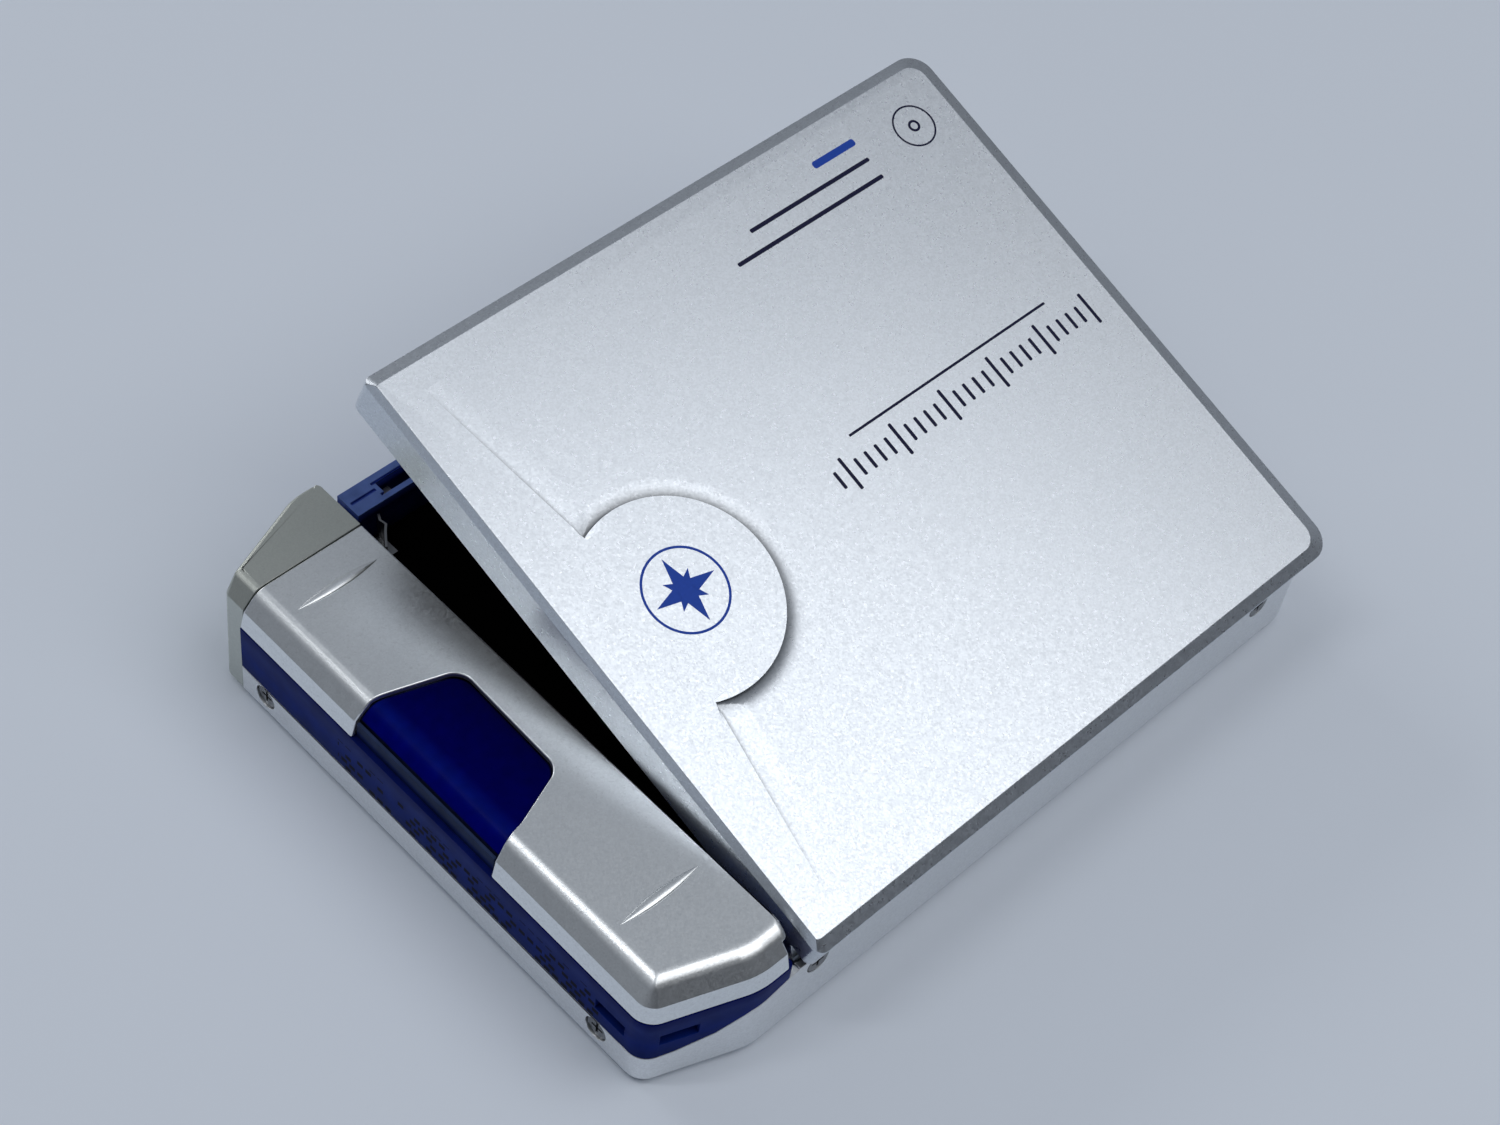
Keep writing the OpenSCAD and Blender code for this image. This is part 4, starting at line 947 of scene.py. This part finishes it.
    def _crease_tool(self, side: int) -> Object:
        """Draws a long wedge out to its fine end, on one side of the tab.

        Args:
            side: 1 towards the hinge, -1 towards the front.

        Returns:
            The wedge to cut away.
        """
        x0, z0, far = TAB_LINE, CASE_TOP + 0.1, CREASE_END - 1
        y0 = math.sqrt(TAB_RADIUS**2 - (x0 - TAB_X) ** 2) - 0.3
        start, end = (x0 - self.crease_width, y0, CASE_TOP), (x0, CREASE_END, CASE_TOP + 1)
        wedge = block("wedge", start, end)
        edit(wedge)
        pick(wedge, lambda v: v.co.y > far)
        move(CREASE_SLIP, 0, 0)
        pick(wedge, lambda v: v.co.z < z0 and v.co.y < far and v.co.x > x0 - 0.1)
        move(0, 0, -self.crease_depth)
        pick(wedge, lambda v: v.co.z < z0 and v.co.y > far and v.co.x > x0 + 2)
        move(0, 0, -self.crease_end_depth)
        select()
        if side < 0:
            scale(1, -1, 1)
        bpy.ops.mesh.quads_convert_to_tris()
        close()
        return wedge

    def _ears(self) -> list[Object]:
        """Makes one hinge ear with its eye and copies it to the other end."""
        ear = prism("ear", [Corner(y, z) for y, z in self.ear_arm], 0, self.ear)
        ear.rotation_euler = (math.pi / 2, 0, math.pi / 2)
        ear.location = HINGE
        take(ear)
        set_down(ear)
        combine(ear, rod("eye", 0, self.ear, self.ear_eye), Cut.TOGETHER)
        combine(ear, rod("bore", -1, 3, self.ear_bore))
        soften(ear, 0.08)
        other = twin(ear)
        left, right = self.ear_gaps
        ear.location.x, other.location.x = LEFT + left, LID_RIGHT - right - self.ear
        return [ear, other]

    @staticmethod
    def open(obj: Object) -> None:
        """Turns a closed piece about the hinge to the angle of the photograph."""
        take(obj)
        set_down(obj)
        edit(obj)
        bpy.ops.transform.rotate(value=LID_TURN, orient_axis="X", center_override=HINGE)
        leave()


@dataclass
class SectionCover:
    """Silver cover of the battery section with its ridge, window cut-out and two grip ribs."""

    wall: float = 0.8
    ridge: float = 2.5
    ridge_steps: int = 8
    inner_wall: Pair = (0.86, 3.3)
    edge: float = 0.2
    rib_size: Point = (5.3, 0.62, 0.3)
    rib_x: float = SECTION_LEFT + 7.0
    rib_places: Pair = (-25.5, 24.2)

    def skin(self, name: str, inset: float, drop: float = 0.0, inner: bool = False) -> Object:
        """Raises the cover's outer form, or a hollow inside it.

        Args:
            name: Name of the new object.
            inset: How far in its faces lie.
            drop: How far it is let down.
            inner: Whether it is a hollow, with a sharp ridge and open ends.

        Returns:
            The solid.
        """
        low = (RIDGE_IN + inset, RIDGE_Z - drop)
        top = (TOP_IN + inset * 0.5, CASE_TOP - inset - drop)
        y0, base = (DOOR_SEAM - 1, COVER_Z - 1) if inner else (DOOR_SEAM, COVER_Z)
        profile = [(inset, base - drop), low, *([top] if inner else self._arc(low, top))]
        x0 = SECTION_LEFT + inset
        return stack(name, [(z, Plan.section(i, x0, y0)) for i, z in profile])

    def _arc(self, low: Pair, top: Pair) -> list[Pair]:
        """Rounds the profile's ridge between its slanted face and its flat top.

        Args:
            low: Inset and height where the slanted face starts.
            top: Inset and height of the sharp ridge.

        Returns:
            The profile's points from the slanted face to the top.
        """
        slope = math.atan2(top[1] - low[1], top[0] - low[0])
        x, z = top[0] + self.ridge * math.tan(slope / 2), top[1] - self.ridge
        turns = [slope * (1 - k / self.ridge_steps) for k in range(self.ridge_steps + 1)]
        return [(x - self.ridge * math.sin(t), z + self.ridge * math.cos(t)) for t in turns]

    def build(self) -> None:
        """Models the cover and hands it over."""
        cover = self.skin("section_cover_shell", 0)
        combine(cover, self.skin("hollow", self.wall, inner=True))
        width, height = self.inner_wall
        end = (SECTION_LEFT + width, FAR_Y, COVER_Z + height)
        combine(cover, block("left", (SECTION_LEFT - 1, -FAR_Y, 0), end))
        combine(cover, prism("opening", Plan.window(0), 10, 18))
        soften(cover, self.edge, 4)
        join(cover, *self._ribs())
        settle(cover, "section_cover", COVER_PAINT)

    def _ribs(self) -> list[Object]:
        """Draws a ball out to a pointed spindle and copies it."""
        clear()
        turn = (0, math.pi / 2, 0)
        bpy.ops.mesh.primitive_uv_sphere_add(segments=32, ring_count=24, radius=1, rotation=turn)
        rib = set_down(bpy.context.active_object)
        edit(rib)
        rings = sorted({round(v.co.x, 4) for v in bmesh.from_edit_mesh(rib.data).verts})
        for x in rings[1:-1]:
            pick(rib, lambda v: abs(v.co.x - x) < NEAR)
            pinch = math.sqrt(1 - x * x)
            scale(1, pinch, pinch, (x, 0, 0))
        select()
        scale(*self.rib_size)
        leave()
        bpy.ops.object.shade_smooth()
        ribs = [rib, twin(rib)]
        for obj, y in zip(ribs, self.rib_places):
            obj.location = (self.rib_x, y, CASE_TOP)
        return ribs


@dataclass
class CellWindow:
    """Dark window over the cell, sunk into the cover's cut-out."""

    cover: SectionCover
    drop: float = 0.45
    inset: float = 0.225
    gap: float = 0.12
    thickness: float = 0.5
    edge: float = 0.12

    def build(self) -> None:
        """Models the window from the cover's own form and hands it over."""
        window = self.cover.skin("cell_window_pane", self.inset, self.drop)
        deep = self.inset + self.thickness
        combine(window, self.cover.skin("inner", deep, self.drop, inner=True))
        pane = prism("pane", Plan.window(self.gap), RIDGE_Z, 18)
        combine(window, pane, Cut.COMMON)
        soften(window, self.edge)
        settle(window, "cell_window", DARK_WINDOW)


@dataclass
class BatteryDoor:
    """End cap of the battery compartment with its guide tongues."""

    wall: float = 1.0
    foot: Pair = (0.3, 1.1)
    foot_in: float = 0.8
    front_in: Pair = (0.06, 0.3)
    ridge: float = 0.6
    edge: float = 0.1
    tongue: float = 1.2
    floor: float = 1.3
    tongue_edge: float = 0.15
    reach: float = 10.5
    end: float = DOOR_SEAM - 0.1

    def build(self) -> None:
        """Models the cap and hands it over."""
        door = self._skin("battery_door_cap", 0.0, self.end, self.foot[0])
        round_edges(door, self._is_ridge, self.ridge, 6)
        combine(door, self._skin("hollow", self.wall, self.end - 1.0, self.floor))
        start = (SECTION_LEFT + self.wall, self.end - 1.2, 1.5)
        mouth = block("mouth", start, (RIGHT - 2.9, self.end + 1, CASE_TOP - 1))
        combine(door, mouth)
        soften(door, self.edge)
        tongues = []
        for x in (SECTION_LEFT + 1.1, RIGHT - 3.3):
            end = (x + self.tongue, self.end + self.reach, self.floor + self.tongue)
            bar = block("tongue", (x, self.end - 1.5, self.floor), end)
            tongues.append(soften(bar, self.tongue_edge))
        join(door, *tongues)
        settle(door, "battery_door", DOOR_PAINT)

    def _skin(self, name: str, inset: float, y0: float, base: float) -> Object:
        """Raises the cap's outer form, or the hollow inside it."""
        side, top = self.front_in
        levels = [
            (base, Plan.door(self.foot_in + inset, self.foot_in + inset, y0)),
            (self.foot[1] + inset * 0.5, Plan.door(inset, inset, y0)),
            (RIDGE_Z, Plan.door(RIDGE_IN + inset, side + inset, y0)),
            (CASE_TOP - inset, Plan.door(TOP_IN + inset * 0.5, top + inset, y0)),
        ]
        return stack(name, levels)

    def _is_ridge(self, edge: bmesh.types.BMEdge) -> bool:
        """Tells the top's outer edges from its inner and rear ones."""
        ends = [v.co for v in edge.verts]
        inner = all(c.x < SECTION_LEFT + 0.5 for c in ends)
        rear = all(c.y > self.end - 0.01 for c in ends)
        return all(abs(c.z - CASE_TOP) < 0.01 for c in ends) and not inner and not rear


@dataclass
class LidPrints:
    """Printed marks on the lid: a compass star, a scale, three rules and a disc sign."""

    ink: float = 0.02
    star_at: Pair = (18.6, -0.4)
    star_radius: float = 4.0
    scale_x: Pair = (-44.0, -4.0)
    scale_y: float = -0.6
    scale_steps: int = 26
    sign_at: Pair = (-41.6, -29.2)

    def build(self) -> None:
        """Models the marks flat on the closed lid, opens them with it and hands them over."""
        blue = [
            self._ring(self.star_at, self.star_radius + 0.9, 0.28),
            self._star(self.star_at, self.star_radius, 0.30),
            self._star(self.star_at, self.star_radius * 0.62, 0.36, math.pi / 4),
            self._bar(-30.5, -31.3, 6.5, 0.9),
        ]
        navy = [
            self._ring(self.sign_at, 2.7, 0.22),
            self._ring(self.sign_at, 0.75, 0.3),
            self._bar(-24.5, -28.7, 18.5, 0.5),
            self._bar(-22.5, -26.2, 22.5, 0.5),
        ]
        first, last = self.scale_x
        for k in range(self.scale_steps + 1):
            x = first + (last - first) * k / self.scale_steps
            navy.append(self._bar(x, self.scale_y, 0.42, 4.2 if k % 5 == 0 else 2.2))
        middle, length = (first + last) / 2, (last - first) * 0.78
        navy.append(self._bar(middle, self.scale_y - 3.4, length, 0.3))
        for name, parts, finish in (("blue", blue, BLUE_INK), ("navy", navy, NAVY_INK)):
            marks = join(*parts)
            marks.name = f"lid_marks_{name}"
            Lid.open(marks)
            settle(marks, "lid_plate", finish, replaces=False)

    def _bar(self, x: float, y: float, length: float, width: float) -> Object:
        """Prints a bar with rounded ends about a centre."""
        a, b, r = length / 2, width / 2, min(length, width) * 0.35
        plan = [Corner(x + i * a, y + j * b, r) for i, j in ((-1, -1), (1, -1), (1, 1), (-1, 1))]
        return prism("bar", plan, CASE_TOP - self.ink, CASE_TOP + self.ink, 3)

    def _disc(self, at: Pair, radius: float, vertices: int, turn: float = 0.0) -> Object:
        """Adds a flat disc on the lid and opens it in edit mode, all of it selected."""
        clear()
        centre, angles = (*at, CASE_TOP - self.ink), (0, 0, turn)
        bpy.ops.mesh.primitive_circle_add(
            vertices=vertices, radius=radius, fill_type="NGON", location=centre, rotation=angles
        )
        disc = bpy.context.active_object
        edit(disc)
        return disc

    def _ring(self, at: Pair, radius: float, width: float) -> Object:
        """Prints a thin ring: a disc, inset and opened, then raised."""
        ring = self._disc(at, radius, 72)
        bpy.ops.mesh.inset(thickness=width)
        bpy.ops.mesh.delete(type="FACE")
        self._raise()
        return ring

    def _star(self, at: Pair, radius: float, waist: float, turn: float = 0.0) -> Object:
        """Prints a star: a disc whose every other corner is drawn in.

        Args:
            at: Its centre.
            radius: Reach of its points.
            waist: Reach of the corners between them, as a share.
            turn: Angle of its first point.

        Returns:
            The raised star.
        """
        star = self._disc(at, radius, 8, turn)
        pick(star, lambda v: v.index % 2 == 1)
        scale(waist, waist, 1, (*at, CASE_TOP - self.ink))
        self._raise()
        return star

    def _raise(self) -> None:
        """Gives the flat mark being edited its thickness."""
        select()
        bpy.ops.mesh.extrude_region_move(TRANSFORM_OT_translate={"value": (0, 0, 2 * self.ink)})
        close()


@dataclass(frozen=True)
class SoftLight:
    """Large soft lamp of the studio."""

    name: str
    at: Point
    size: Pair
    power: float

    def hang(self) -> None:
        """Hangs the lamp so that it faces the part."""
        lamp = bpy.data.lights.new(self.name, "AREA")
        lamp.shape, lamp.energy = "ELLIPSE", self.power
        lamp.size, lamp.size_y = self.size
        holder = bpy.data.objects.new(self.name, lamp)
        bpy.context.scene.collection.objects.link(holder)
        holder.location = self.at
        holder.rotation_euler = (-Vector(self.at)).to_track_quat("-Z", "Y").to_euler()


@dataclass
class Studio:
    """Pale floor, soft lights and the camera of the photograph."""

    camera_at: Point = (0.154163, 0.118886, 0.254571)
    camera_right: Point = (-0.7152336, 0.6909737, 0.10486295)
    camera_down: Point = (0.49812678, 0.60925165, -0.61699443)
    camera_ahead: Point = (-0.49021485, -0.38906011, -0.77994976)
    lens: float = 68.2754
    sky_stops: tuple[tuple[float, Point], ...] = (
        (0.0, (0.24, 0.26, 0.29)),
        (0.85, (0.055, 0.06, 0.07)),
        (0.60, (0.22, 0.235, 0.26)),
    )
    sky_rise: Pair = (0.25, 0.9)
    sky_power: Pair = (0.62, 1.3)
    lamps: tuple[SoftLight, ...] = (
        SoftLight("key_light", (-0.25, 0.42, 0.87), (0.88, 0.88), 3.2),
        SoftLight("side_light", (0.35, -0.25, 0.90), (0.10, 0.6), 1.0),
        SoftLight("low_light", (0.10, -1.0, 0.45), (0.6, 0.35), 2.0),
    )

    def build(self) -> None:
        """Makes the floor, the lights, the sky and the camera."""
        bpy.context.scene.view_settings.view_transform = "Standard"
        self._floor()
        self._sky()
        for lamp in self.lamps:
            lamp.hang()
        self._camera()

    def _floor(self) -> None:
        """Lays a wide pale floor under the base."""
        clear()
        bpy.ops.mesh.primitive_plane_add(size=3, location=(0, 0, 0))
        floor = bpy.context.active_object
        floor.name = "floor"
        dress(floor, FLOOR_PAPER)

    def _sky(self) -> None:
        """Fills the room with dim grey, darker towards the back wall and near the floor."""
        world = bpy.data.worlds.new("sky")
        bpy.context.scene.world = world
        world.use_nodes = True
        tree = world.node_tree
        _, y, z = split(tree, add(tree, "TexCoord").outputs["Generated"])
        depth = add(tree, "MapRange", Value=y, From_Min=-1.0, From_Max=1.0)
        ramp = add(tree, "ValToRGB", Fac=depth.outputs["Result"])
        stops = ramp.color_ramp.elements
        for index, (at, shade) in enumerate(self.sky_stops):
            stop = stops[index] if index < 2 else stops.new(at)
            stop.position, stop.color = at, (*shade, 1)
        (low, high), (dim, full) = self.sky_rise, self.sky_power
        ends = {"From_Min": low, "From_Max": high, "To_Min": dim, "To_Max": full}
        strength = add(tree, "MapRange", Value=z, **ends)
        background = tree.nodes["Background"]
        feed(tree, ramp.outputs["Color"], background.inputs["Color"])
        feed(tree, strength.outputs["Result"], background.inputs["Strength"])

    def _camera(self) -> None:
        """Places the camera where the photograph was taken from."""
        data = bpy.data.cameras.new("camera")
        data.lens, data.sensor_width = self.lens, 36.0
        data.clip_start, data.clip_end = 0.01, 10.0
        eye = bpy.data.objects.new("camera", data)
        bpy.context.scene.collection.objects.link(eye)
        axes = Vector(self.camera_right), -Vector(self.camera_down), -Vector(self.camera_ahead)
        turn = Matrix(axes).transposed().to_4x4()
        eye.matrix_world = Matrix.Translation(self.camera_at) @ turn
        bpy.context.scene.camera = eye


def main() -> None:
    """Builds the pieces in order and dresses what the frame keeps."""
    for node, obj in frame["nodes"].items():
        dress(obj, NODE_FINISH[node])
    SoftenedNodes({"bottom_case": 0.10, "mid_frame": 0.06}).build()
    cover = SectionCover()
    for piece in (cover, CellWindow(cover), BatteryDoor(), Lid(), LidPrints(), Studio()):
        piece.build()
    for node, obj in frame["nodes"].items():
        LOG.info("%s keeps %d faces", node, len(obj.data.polygons))


if __name__ == "__main__":
    logging.basicConfig(level=logging.INFO, format="%(message)s")
    main()
